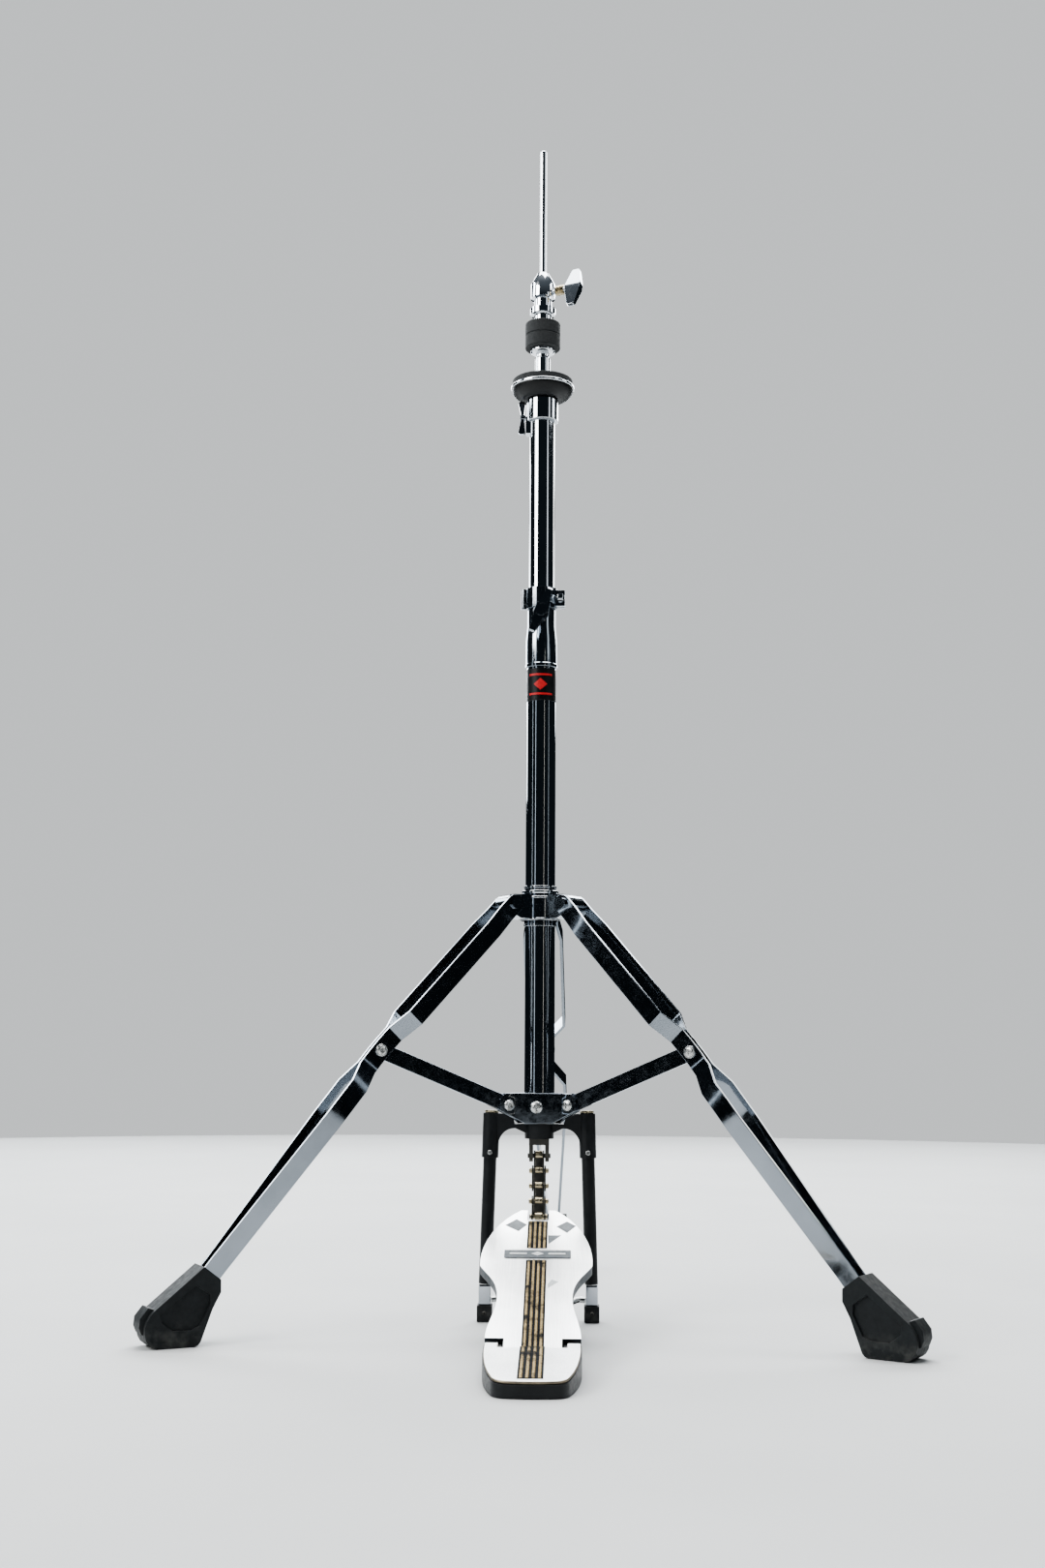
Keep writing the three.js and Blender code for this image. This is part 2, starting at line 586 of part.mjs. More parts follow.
/** The casting under the tube that carries the two frame rods. */
function frameYoke() {
  const arch = new THREE.Shape();
  arch.moveTo(FRAME_HUB_R, FRAME_HUB_BOTTOM + 5);
  arch.lineTo(20, 155);
  arch.quadraticCurveTo(33, 155, 35.8, 137);
  arch.lineTo(46.5, 137);
  arch.lineTo(46.5, 167);
  arch.lineTo(30.5, 167);
  arch.lineTo(22.2, 163.5);
  arch.lineTo(20.6, FRAME_HUB_TOP);
  arch.lineTo(-20.6, FRAME_HUB_TOP);
  arch.lineTo(-22.2, 163.5);
  arch.lineTo(-30.5, 167);
  arch.lineTo(-46.5, 167);
  arch.lineTo(-46.5, 137);
  arch.lineTo(-35.8, 137);
  arch.quadraticCurveTo(-33, 155, -20, 155);
  arch.lineTo(-FRAME_HUB_R, FRAME_HUB_BOTTOM + 5);
  let casting = upright(arch, -5.5, 5.5, 8);
  casting = casting.add(tube(4.6, FRAME_HUB_R, FRAME_HUB_BOTTOM, FRAME_HUB_TOP));
  casting = casting.add(tube(4.6, LOWER_TUBE_BORE - 0.15, FRAME_HUB_TOP - 1, 168));
  for (const side of [-1, 1]) {
    const head = sideways(FRAME_ROD_HEAD, side);
    const foot = sideways(FRAME_ROD_FOOT, side);
    const along = foot.clone().sub(head).normalize();
    const low = head.clone().addScaledVector(along, 38);
    const high = head.clone().addScaledVector(along, 1.5);
    const socket = bar(7, high, low);
    const above = head.clone().addScaledVector(along, -6);
    const below = low.clone().addScaledVector(along, 6);
    const bore = bar(FRAME_ROD_R + FIT, above, below);
    casting = cut(join(casting, socket), bore);
  }
  return cut(casting, plug(4.6, FRAME_HUB_BOTTOM - 1, 170));
}

add('frame_yoke', frameYoke(), 'black_paint');

/** The steel link from a frame foot to the heel base. */
function radiusRod(side) {
  const path = new THREE.CatmullRomCurve3([
    vector(side * 38.7, FRAME_FOOT.y, 17),
    vector(side * 32, FRAME_FOOT.y, 17),
    vector(side * 25.5, FRAME_FOOT.y - 8, 14),
    vector(side * 24.5, FRAME_FOOT.y - 30, 9),
    vector(side * 25.5, -140, 6),
    vector(side * 26.5, HEEL_BACK_Y + GAP, 6),
  ], false, 'centripetal');
  const section = new THREE.Shape();
  section.absarc(0, 0, 2.5, 0, 2 * Math.PI, false);
  const options = { steps: 14, bevelEnabled: false, curveSegments: 5, extrudePath: path };
  return solid(new THREE.ExtrudeGeometry(section, options));
}

for (const [name, side] of [['left', -1], ['right', 1]]) {
  const x = side * FRAME_FOOT.x;
  const collarLow = vector(x - 5, FRAME_FOOT.y - 5, FRAME_FOOT.top + GAP);
  const collarHigh = vector(x + 5, FRAME_FOOT.y + 5, FRAME_FOOT.collarTop);
  const footLow = vector(x - 6.2, FRAME_FOOT.y - 8, 0);
  const footHigh = vector(x + 6.2, FRAME_FOOT.y + 8, FRAME_FOOT.top);
  const rodHead = sideways(FRAME_ROD_HEAD, side);
  const rodFoot = sideways(FRAME_ROD_FOOT, side);
  add(`frame_rod_${name}`, bar(FRAME_ROD_R, rodHead, rodFoot), 'black_paint');
  add(`foot_collar_${name}`, block(collarLow, collarHigh), 'chrome');
  add(`frame_foot_${name}`, block(footLow, footHigh), 'black_plastic');
  add(`radius_rod_${name}`, radiusRod(side), 'steel');
}

// ---------------------------------------------------------------- heel

/** The heel's outline in plan, narrower at its rounded end. */
function heelOutline(grow) {
  const outline = new THREE.Shape();
  outline.moveTo(33.6 + grow, HEEL_BACK_Y);
  outline.lineTo(33.6 + grow, HEEL_BACK_Y - 22);
  outline.quadraticCurveTo(32.5 + grow, -292, 26 + grow, -315);
  outline.quadraticCurveTo(24 + grow, HEEL_FRONT_Y + 2 - grow, 15, HEEL_FRONT_Y + 1 - grow);
  outline.quadraticCurveTo(0, HEEL_FRONT_Y - 1 - grow, -15, HEEL_FRONT_Y + 1 - grow);
  outline.quadraticCurveTo(-24 - grow, HEEL_FRONT_Y + 2 - grow, -26 - grow, -315);
  outline.quadraticCurveTo(-32.5 - grow, -292, -33.6 - grow, HEEL_BACK_Y - 22);
  outline.lineTo(-33.6 - grow, HEEL_BACK_Y);
  return outline;
}

/** Everything above a sloping face that falls towards the heel's end. */
function aboveHeelFace(height) {
  const space = block(vector(-60, -130, 0), vector(60, 20, 40));
  const matrix = new THREE.Matrix4().makeRotationX(radians(HEEL_PLATE_SLOPE));
  return placed(space, matrix.setPosition(0, HEEL_BACK_Y, height));
}

const hingePoint = (x) => vector(x, HINGE.y, HINGE.z);
const hingeHole = bar(HINGE.pinR + FIT, hingePoint(-50), hingePoint(50));
const notch = block(
  vector(-HEEL_NOTCH_HALF_WIDTH, HINGE.y - 7, 6.5),
  vector(HEEL_NOTCH_HALF_WIDTH, HEEL_BACK_Y + 5, 40),
);
const plateUnderside = HEEL_PLATE_BACK_Z - HEEL_PLATE_THICKNESS;

const heelBase = raised(heelOutline(0.6), 0, 30);
add('heel_base', cut(heelBase, aboveHeelFace(plateUnderside - 0.1), notch, hingeHole), 'black_paint');

const heelPlate = raised(heelOutline(0), 0, 30).intersect(aboveHeelFace(plateUnderside));
add('heel_plate', cut(heelPlate, aboveHeelFace(HEEL_PLATE_BACK_Z), notch), 'aluminium');
const { pinHalfLength } = HINGE;
add('hinge_pin', bar(HINGE.pinR, hingePoint(-pinHalfLength), hingePoint(pinHalfLength)), 'steel');

// ---------------------------------------------------------------- footboard

/** The waisted board in its own plane: X across, Y from the hinge's axis to the toe. */
function boardOutline() {
  const outline = new THREE.Shape();
  outline.moveTo(TONGUE_HALF_WIDTH, 0);
  outline.lineTo(TONGUE_HALF_WIDTH, 12.5);
  outline.lineTo(33.8, 12.5);
  outline.bezierCurveTo(33.8, 36, 27.7, 52, 27.7, 76);
  outline.bezierCurveTo(27.7, 104, 38, 116, 43, 131);
  outline.bezierCurveTo(45, 165, 36, 212, 14, BOARD_LENGTH);
  outline.lineTo(TOE_SLOT_HALF_WIDTH, BOARD_LENGTH);
  outline.lineTo(TOE_SLOT_HALF_WIDTH, BOARD_LENGTH - 20);
  outline.lineTo(-TOE_SLOT_HALF_WIDTH, BOARD_LENGTH - 20);
  outline.lineTo(-TOE_SLOT_HALF_WIDTH, BOARD_LENGTH);
  outline.lineTo(-14, BOARD_LENGTH);
  outline.bezierCurveTo(-36, 212, -45, 165, -43, 131);
  outline.bezierCurveTo(-38, 116, -27.7, 104, -27.7, 76);
  outline.bezierCurveTo(-27.7, 52, -33.8, 36, -33.8, 12.5);
  outline.lineTo(-TONGUE_HALF_WIDTH, 12.5);
  outline.lineTo(-TONGUE_HALF_WIDTH, 0);
  return outline;
}

const boardPlace = new THREE.Matrix4().makeRotationX(radians(BOARD_SLOPE));
boardPlace.setPosition(0, HINGE.y, HINGE.z);
const inlayGroove = (from, to, half) => block(
  vector(-half, from, BOARD_TOP - 0.8),
  vector(half, to, BOARD_TOP + 2),
);

/** The footboard, in its own plane. */
function footboard() {
  const plate = raised(boardOutline(), BOARD_TOP - BOARD_THICKNESS, BOARD_TOP, 10);
  const knuckle = bar(BOARD_TOP, vector(-TONGUE_HALF_WIDTH, 0, 0), vector(TONGUE_HALF_WIDTH, 0, 0), 32);
  const hole = bar(HINGE.pinR + FIT, vector(-30, 0, 0), vector(30, 0, 0));
  const groove = STRIP_INLAY_HALF_WIDTH + 0.1;
  return cut(join(plate, knuckle), hole, inlayGroove(0, 142, groove), inlayGroove(163, 216, groove));
}

/** A ribbed inlay that fills one stretch of the groove in the board. */
function inlay(from, to) {
  const half = STRIP_INLAY_HALF_WIDTH;
  const base = BOARD_TOP - 0.75;
  let strip = block(vector(-half, from, base), vector(half, to, BOARD_TOP - 0.1));
  for (const x of [-5.7, -1.9, 1.9, 5.7]) {
    strip = strip.add(block(vector(x - 1, from, BOARD_TOP - 0.3), vector(x + 1, to, BOARD_TOP + 0.7)));
  }
  return strip;
}

add('footboard', placed(footboard(), boardPlace), 'aluminium');
add('traction_strip_rear', placed(inlay(0.4, 141.8), boardPlace), 'inlay');
add('traction_strip_front', placed(inlay(163.2, 215.8), boardPlace), 'inlay');

// ---------------------------------------------------------------- chain and pull rod

/** A chain plate from one pin to the next, from one X to another. */
function chainPlate(fromPin, toPin, xLow, xHigh) {
  const shape = new THREE.Shape();
  const radius = 4.6;
  shape.absarc(0, -toPin * CHAIN_PITCH, radius, Math.PI, 2 * Math.PI, false);
  shape.absarc(0, -fromPin * CHAIN_PITCH, radius, 0, Math.PI, false);
  return upright(shape, xLow, xHigh, 8).rotate([0, 0, 90]);
}

/** The pull chain, with its links in line; its first link turns on the yoke's pin. */
function driveChain() {
  const at = (pin, x) => vector(x, 0, -pin * CHAIN_PITCH);
  let chain = null;
  const attach = (piece) => { chain = chain ? chain.add(piece) : piece; };
  for (const side of [-1, 1]) {
    const inner = [3.1 * side, 4.5 * side].sort((a, b) => a - b);
    const outer = [4.4 * side, 5.9 * side].sort((a, b) => a - b);
    attach(chainPlate(0, 1, ...inner));
    attach(chainPlate(2, 3, ...inner));
    attach(chainPlate(1, 2, ...outer));
    attach(chainPlate(3, 4, ...outer));
  }
  for (const pin of [0, 1, 2, 3, 4]) attach(bar(4.1, at(pin, -3.3), at(pin, 3.3)));
  for (const pin of [1, 2, 3]) attach(bar(2, at(pin, -8.4), at(pin, 8.4), 16));
  attach(bar(2, at(4, -7.6), at(4, 7.6), 16));
  return cut(chain, bar(2 + FIT, at(0, -12), at(0, 12), 16));
}

const chainPlace = new THREE.Matrix4().makeRotationX(radians(-CHAIN_TILT)).setPosition(0, 0, YOKE_PIN_Z);
add('drive_chain', placed(driveChain(), chainPlace), 'chain_steel');

/** The fork at the bottom of the pull rod, with the pin that carries the chain. */
function pullYoke() {
  const top = FRAME_HUB_BOTTOM - GAP;
  const crown = block(vector(-8.4, -5.5, top - 5), vector(8.4, 5.5, top));
  let fork = crown;
  for (const x of [-6.65, 6.65]) {
    const cheek = block(vector(x - 1.6, -5, YOKE_PIN_Z), vector(x + 1.6, 5, top - 2));
    const round = bar(5, vector(x - 1.6, 0, YOKE_PIN_Z), vector(x + 1.6, 0, YOKE_PIN_Z));
    fork = join(fork, cheek, round);
  }
  const pin = bar(2, vector(-9.6, 0, YOKE_PIN_Z), vector(9.6, 0, YOKE_PIN_Z), 16);
  const socket = bar(LOWER_ROD_R + 0.05, vector(0, 0, top - 3.5), vector(0, 0, top + 5));
  return cut(join(fork, pin), socket);
}

add('pull_yoke', pullYoke(), 'chain_steel');

add('pull_rod_lower', turned([
  [0, FRAME_HUB_BOTTOM - GAP - 3.3],
  [LOWER_ROD_R, FRAME_HUB_BOTTOM - GAP - 3.3],
  [LOWER_ROD_R, SPRING_COLLAR_Z],
  [9.6, SPRING_COLLAR_Z],
  [9.6, SPRING_COLLAR_Z + 3],
  [LOWER_ROD_R, SPRING_COLLAR_Z + 3],
  [LOWER_ROD_R, ROD_SOCKET_BOTTOM],
  [5.4, ROD_SOCKET_BOTTOM + 1.5],
  [5.4, ROD_SOCKET_TOP],
  [ROD_R + 0.06, ROD_SOCKET_TOP],
  [ROD_R + 0.06, ROD_SOCKET_TOP - 22],
  [0, ROD_SOCKET_TOP - 22],
], SMALL_ROUND), 'steel');

add('pull_rod', turned([
  [0, ROD_SOCKET_TOP - 21.9],
  [ROD_R, ROD_SOCKET_TOP - 21.9],
  [ROD_R, ROD_TOP - 1],
  [ROD_R - 0.8, ROD_TOP],
  [0, ROD_TOP],
], SMALL_ROUND), 'chrome');

/** The return spring between the casting's spigot and the collar on the pull rod. */
function returnSpring() {
  const low = 168 + GAP / 2 + SPRING_WIRE_R;
  const high = SPRING_COLLAR_Z - GAP / 2 - SPRING_WIRE_R;
  const points = [];
  const perTurn = 12;
  for (let i = 0; i <= SPRING_TURNS * perTurn; i += 1) {
    const angle = (2 * Math.PI * i) / perTurn;
    const height = low + ((high - low) * i) / (SPRING_TURNS * perTurn);
    points.push(vector(SPRING_R * Math.cos(angle), SPRING_R * Math.sin(angle), height));
  }
  const section = new THREE.Shape();
  section.absarc(0, 0, SPRING_WIRE_R, 0, 2 * Math.PI, false);
  const path = new THREE.CatmullRomCurve3(points);
  const steps = SPRING_TURNS * perTurn;
  const options = { steps, bevelEnabled: false, curveSegments: 3, extrudePath: path };
  return solid(new THREE.ExtrudeGeometry(section, options));
}

add('return_spring', returnSpring(), 'steel');

// ---------------------------------------------------------------- upper column

add('upper_tube', tube(UPPER_TUBE_BORE, UPPER_TUBE_R, UPPER_TUBE_BOTTOM, UPPER_TUBE_TOP), 'chrome');

const LOCK_BOTTOM = CLAMP_TOP + GAP;
const LOCK_BOLT = { x: 16.6, z: (LOCK_BOTTOM + MEMORY_LOCK_TOP) / 2 };

/** The memory lock: a split ring with a hinge knuckle on one side and two ears on the other. */
function memoryLock() {
  const inner = UPPER_TUBE_R + 0.06;
  const ring = tube(inner, 13.7, LOCK_BOTTOM, MEMORY_LOCK_TOP);
  const knuckle = bar(2.6, vector(-15.2, 0, LOCK_BOTTOM), vector(-15.2, 0, MEMORY_LOCK_TOP));
  const ears = block(vector(12.2, -6.5, LOCK_BOTTOM + 2), vector(20.6, 6.5, MEMORY_LOCK_TOP - 2));
  const split = block(vector(10, -0.9, LOCK_BOTTOM - 1), vector(25, 0.9, MEMORY_LOCK_TOP + 1));
  const { x, z } = LOCK_BOLT;
  const boltHole = bar(2.5 + FIT, vector(x, -10, z), vector(x, 10, z));
  return cut(join(ring, knuckle, ears), split, boltHole);
}

add('memory_lock', memoryLock(), 'black_chrome');
const lockBoltAt = (y) => vector(LOCK_BOLT.x, y, LOCK_BOLT.z);
add('memory_lock_bolt', join(
  bar(2.5, lockBoltAt(-8), lockBoltAt(9)),
  bar(3.8, lockBoltAt(-9.3), lockBoltAt(-6.6)),
  block(lockBoltAt(-14).add(vector(-2.2, 0, -2.2)), lockBoltAt(-9).add(vector(2.2, 0, 2.2))),
), 'chrome');

/** The cap on the upper tube, with the tongue and the thread for the tilter screw. */
function tilterCap() {
  const inner = UPPER_TUBE_R + 0.06;
  const body = turned([
    [inner, CAP_BOTTOM],
    [13.6, CAP_BOTTOM],
    [14, CAP_BOTTOM + 0.5],
    [14, CAP_TOP - 0.6],
    [13.4, CAP_TOP],
    [4.6, CAP_TOP],
    [4.6, UPPER_TUBE_TOP + GAP],
    [inner, UPPER_TUBE_TOP + GAP],
  ]);
  const tongue = cut(
    block(vector(-14.6, -5, 761.5), vector(-10, 5, CAP_BOTTOM + 3)),
    plug(inner, 755, CAP_BOTTOM + 5),
  );
  const thread = bar(2 + FIT, vector(-8, 0, TILTER_SCREW_Z), vector(-20, 0, TILTER_SCREW_Z));
  return cut(join(body, tongue), thread);
}

add('tilter_cap', tilterCap(), 'chrome');
const tilterScrew = wingScrew({
  shankR: 2,
  shank: 3.8,
  hubR: 3.2,
  hub: 4.4,
  middle: 6.3,
  span: 30,
  rise: 0.6,
  root: { height: 2.8, thickness: 5.6 },
  tip: { height: 6.2, thickness: 3.4 },
});
const tilterTip = vector(-UPPER_TUBE_R - 0.3, 0, TILTER_SCREW_Z);
add('tilter_wing_screw', aimed(tilterScrew, tilterTip, vector(-1, 0, 0), vector(0, 0, 1)), 'chrome');

add('seat_cup', turned([
  [5.8, SEAT_CUP_BOTTOM],
  [15, SEAT_CUP_BOTTOM],
  [18.5, SEAT_CUP_BOTTOM + 0.6],
  [22.6, SEAT_CUP_BOTTOM + 2.4],
  [25.8, SEAT_CUP_BOTTOM + 5.2],
  [27.4, SEAT_CUP_BOTTOM + 8],
  [27.7, SEAT_PLATE_BOTTOM - 0.1],
  [5.8, SEAT_PLATE_BOTTOM - 0.1],
]), 'black_plastic');
add('seat_plate', turned([
  [5.6, SEAT_PLATE_BOTTOM],
  [27.6, SEAT_PLATE_BOTTOM],
  [SEAT_R, SEAT_PLATE_BOTTOM + 0.8],
  [SEAT_R, SEAT_PLATE_BOTTOM + 2.2],
  [27.6, SEAT_PLATE_BOTTOM + 3],
  [SEAT_POST_R, SEAT_PLATE_BOTTOM + 3],
  [SEAT_POST_R, SEAT_POST_TOP],
  [5.6, SEAT_POST_TOP],
]), 'chrome');
add('seat_felt', turned([
  [SEAT_POST_R + 0.2, SEAT_PLATE_BOTTOM + 3.1],
  [27, SEAT_PLATE_BOTTOM + 3.1],
  [27, SEAT_FELT_TOP - 0.8],
  [26.2, SEAT_FELT_TOP],
  [SEAT_POST_R + 0.2, SEAT_FELT_TOP],
]), 'felt');

// ---------------------------------------------------------------- clutch

/** The clutch's turned body with its sleeve and the cross hole for its wing screw. */
function clutchBody() {
  const body = turned([
    [ROD_R + FIT, CLUTCH_SLEEVE_END],
    [CLUTCH_SLEEVE_R, CLUTCH_SLEEVE_END],
    [CLUTCH_SLEEVE_R, CLUTCH_FELT_TOP + 0.2],
    [7.8, CLUTCH_FELT_TOP + 0.2],
    [7.8, 873.1],
    [11.3, 873.6],
    [11.3, 879],
    [7.8, 879.5],
    [7.8, 887.6],
    [10.9, 888.8],
    [10.9, 902],
    [5.3, CLUTCH_TOP],
    [ROD_R + FIT, CLUTCH_TOP],
  ]);
  const crossHole = bar(2.5 + FIT, vector(1, 0, CLUTCH_SCREW_Z), vector(20, 0, CLUTCH_SCREW_Z));
  return cut(body, turnedAboutZ(crossHole, CLUTCH_SCREW_AZIMUTH));
}

add('clutch_body', clutchBody(), 'chrome');
const clutchScrew = wingScrew({
  shankR: 2.5,
  shank: 9.5,
  hubR: 3.9,
  hub: 24,
  middle: 27.3,
  span: 40,
  rise: 0,
  root: { height: 14.4, thickness: 8 },
  tip: { height: 7.6, thickness: 4 },
});
const clutchAngle = radians(CLUTCH_SCREW_AZIMUTH);
const clutchOut = vector(Math.cos(clutchAngle), Math.sin(clutchAngle), 0);
const clutchScrewTip = clutchOut.clone().multiplyScalar(ROD_R + 0.15).setZ(CLUTCH_SCREW_Z);
const clutchWings = vector(-clutchOut.y, clutchOut.x, 0).multiplyScalar(Math.sin(CLUTCH_WING_LEAN));
clutchWings.z = Math.cos(CLUTCH_WING_LEAN);
add('clutch_wing_screw', aimed(clutchScrew, clutchScrewTip, clutchOut, clutchWings), 'chrome');

const feltBore = CLUTCH_SLEEVE_R + 0.2;
add('clutch_felt_upper', tube(feltBore, CLUTCH_FELT_R, CLUTCH_FELT_SEAM + 0.1, CLUTCH_FELT_TOP), 'felt');
add('clutch_felt_lower', tube(feltBore, CLUTCH_FELT_R, CLUTCH_NUT_TOP + 0.1, CLUTCH_FELT_SEAM), 'felt');
add('clutch_nut', turned([
  [feltBore, CLUTCH_NUT_BOTTOM],
  [9.4, CLUTCH_NUT_BOTTOM],
  [10.9, CLUTCH_NUT_BOTTOM + 1.6],
  [10.9, CLUTCH_NUT_TOP],
  [feltBore, CLUTCH_NUT_TOP],
]), 'chrome');

export default stand;
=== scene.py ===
"""The looks of a hi-hat stand: chrome tubes and legs, a black pedal frame, a brushed footboard,
felts and rubber boots.

Lengths in the builders are millimetres and become metres in place(). +Z is up, and the board's
heel lies towards -Y.
"""

import json
import math

import bmesh
import bpy
from mathutils import Matrix, Vector

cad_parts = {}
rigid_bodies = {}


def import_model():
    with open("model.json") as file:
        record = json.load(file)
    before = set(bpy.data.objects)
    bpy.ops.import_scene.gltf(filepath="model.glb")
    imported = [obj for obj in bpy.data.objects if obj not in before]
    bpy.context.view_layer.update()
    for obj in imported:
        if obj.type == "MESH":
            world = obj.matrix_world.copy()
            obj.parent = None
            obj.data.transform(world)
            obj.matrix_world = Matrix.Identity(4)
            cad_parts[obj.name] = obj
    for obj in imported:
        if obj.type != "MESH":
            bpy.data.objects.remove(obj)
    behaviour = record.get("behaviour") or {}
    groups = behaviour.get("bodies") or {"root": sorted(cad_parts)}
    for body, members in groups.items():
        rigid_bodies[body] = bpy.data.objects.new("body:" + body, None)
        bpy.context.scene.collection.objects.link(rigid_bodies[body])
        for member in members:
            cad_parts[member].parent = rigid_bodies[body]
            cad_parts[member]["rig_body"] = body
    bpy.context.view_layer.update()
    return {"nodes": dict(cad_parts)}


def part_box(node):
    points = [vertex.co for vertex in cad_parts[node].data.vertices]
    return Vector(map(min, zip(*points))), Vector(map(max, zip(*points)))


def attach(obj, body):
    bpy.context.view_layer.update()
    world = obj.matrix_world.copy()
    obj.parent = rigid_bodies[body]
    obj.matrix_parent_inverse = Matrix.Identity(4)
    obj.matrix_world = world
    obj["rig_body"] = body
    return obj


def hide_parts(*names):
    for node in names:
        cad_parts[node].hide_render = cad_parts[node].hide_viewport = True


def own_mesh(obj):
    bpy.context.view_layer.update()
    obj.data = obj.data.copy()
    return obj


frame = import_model()

MM = 0.001
SMOOTH_ANGLE = math.radians(33)
BEVEL_ANGLE = math.radians(35)
LEG_SPIN = -2
LEG_AZIMUTHS = {"right": -30 + LEG_SPIN, "rear": 90 + LEG_SPIN, "left": 210 + LEG_SPIN}
KNEE_R, KNEE_Z = 145.5, 219.3
STRUT_PIN_R, STRUT_PIN_Z = 30, 174.4
BRACKET_SCREW_Z = 172.6
BOARD_SLOPE = 17.33
BOARD_TOP = 5.15
HINGE = Vector((0, -240, 13))
HEEL_SLOPE = 5.7
HEEL_PLATE_BACK = Vector((0, -232.5, 20.2))
CHAIN_LINKS = 4
CHAIN_PITCH = 12.7
CHAIN_TILT = 18.36
YOKE_PIN_Z = 132.2
CLUTCH_SCREW_Z = 894
CLUTCH_SCREW_AZIMUTH = -25
FRONT = Vector((0, -1, 0))
FLOOR_RADIUS = 2.86


# ------------------------------------------------------------------ material helpers


def start_material(name, **values):
    """A principled material with the given socket values."""
    material = bpy.data.materials.new(name)
    material.use_nodes = True
    shader = material.node_tree.nodes["Principled BSDF"]
    for socket, value in values.items():
        shader.inputs[socket.replace("_", " ")].default_value = value
    return material, material.node_tree, shader


def object_space(tree, stretch=(1, 1, 1), turn=(0, 0, 0)):
    """Object coordinates, turned and then stretched."""
    coordinates = tree.nodes.new("ShaderNodeTexCoord")
    turned_by = tree.nodes.new("ShaderNodeMapping")
    turned_by.inputs["Rotation"].default_value = turn
    stretched = tree.nodes.new("ShaderNodeMapping")
    stretched.inputs["Scale"].default_value = stretch
    tree.links.new(coordinates.outputs["Object"], turned_by.inputs["Vector"])
    tree.links.new(turned_by.outputs["Vector"], stretched.inputs["Vector"])
    return stretched.outputs["Vector"]


def noise(tree, where, scale, detail=3.0, roughness=0.55):
    """Noise; scale is in cycles a metre."""
    node = tree.nodes.new("ShaderNodeTexNoise")
    node.inputs["Scale"].default_value = scale
    node.inputs["Detail"].default_value = detail
    node.inputs["Roughness"].default_value = roughness
    tree.links.new(where, node.inputs["Vector"])
    return node.outputs["Fac"]


def specks(tree, where, scale, size):
    """1 on small scattered dots, 0 elsewhere."""
    cells = tree.nodes.new("ShaderNodeTexVoronoi")
    cells.inputs["Scale"].default_value = scale
    tree.links.new(where, cells.inputs["Vector"])
    return ramp(tree, cells.outputs["Distance"], [(0.0, (1, 1, 1)), (size, (0, 0, 0))])


def ramp(tree, factor, stops):
    """Colours or levels against a factor, from (position, colour or level) stops."""
    node = tree.nodes.new("ShaderNodeValToRGB")
    elements = node.color_ramp.elements
    while len(elements) < len(stops):
        elements.new(0.5)
    for element, (position, value) in zip(elements, stops):
        colour = value if isinstance(value, tuple) else (value, value, value)
        element.position = position
        element.color = (*colour, 1)
    tree.links.new(factor, node.inputs["Fac"])
    return node.outputs["Color"]


def blend_colours(tree, factor, first, second, mode="MIX"):
    """A mix of two colours; each is a colour or a socket."""
    node = tree.nodes.new("ShaderNodeMix")
    node.data_type = "RGBA"
    node.blend_type = mode
    for index, value in ((6, first), (7, second)):
        if isinstance(value, tuple):
            node.inputs[index].default_value = (*value, 1)
        else:
            tree.links.new(value, node.inputs[index])
    if isinstance(factor, float):
        node.inputs[0].default_value = factor
    else:
        tree.links.new(factor, node.inputs[0])
    return node.outputs[2]


def bump(tree, shader, height, strength, distance):
    """Relief from a height socket; distance is in metres."""
    node = tree.nodes.new("ShaderNodeBump")
    node.inputs["Strength"].default_value = strength
    node.inputs["Distance"].default_value = distance
    tree.links.new(height, node.inputs["Height"])
    previous = shader.inputs["Normal"]
    if previous.is_linked:
        tree.links.new(previous.links[0].from_socket, node.inputs["Normal"])
    tree.links.new(node.outputs["Normal"], shader.inputs["Normal"])


# ------------------------------------------------------------------ materials
#
# In these, low and high bound the roughness, grain is the bumps' cycles a metre, relief their strength.


def chrome(name, tint, low, high, dust=0.0, wave=0.0):
    """Polished plate with faint wiping marks, and where wanted some dust or a little wave."""
    material, tree, shader = start_material(name, Metallic=1.0)
    where = object_space(tree)
    deep = tuple(0.86 * value for value in tint)
    colour = ramp(tree, noise(tree, where, 22, 4), [(0.35, deep), (0.65, tint)])
    finish = ramp(tree, noise(tree, where, 130, 8, 0.65), [(0.35, low), (0.75, high)])
    if dust:
        grains = specks(tree, where, 210, 0.07)
        patches = ramp(tree, noise(tree, where, 35, 2), [(0.5, 0.0), (0.62, dust)])
        grains = blend_colours(tree, 1.0, grains, patches, "MULTIPLY")
        colour = blend_colours(tree, grains, colour, (0.95, 0.94, 0.9))
        finish = blend_colours(tree, grains, finish, (0.6, 0.6, 0.6))
    tree.links.new(colour, shader.inputs["Base Color"])
    tree.links.new(finish, shader.inputs["Roughness"])
    if wave:
        bump(tree, shader, noise(tree, where, 45, 2), wave, 0.0004)
    bump(tree, shader, noise(tree, where, 900, 3), 0.03, 0.0001)
    return material


def cast_metal(name, tint, low, high, grain, relief):
    """Turned or pressed steel with a fine grain."""
    material, tree, shader = start_material(name, Metallic=1.0)
    where = object_space(tree)
    deep = tuple(0.6 * value for value in tint)
    colour = ramp(tree, noise(tree, where, 160, 5), [(0.3, deep), (0.7, tint)])
    finish = ramp(tree, noise(tree, where, 320, 6), [(0.3, low), (0.7, high)])
    tree.links.new(colour, shader.inputs["Base Color"])
    tree.links.new(finish, shader.inputs["Roughness"])
    bump(tree, shader, noise(tree, where, grain, 4), relief, 0.0002)
    return material


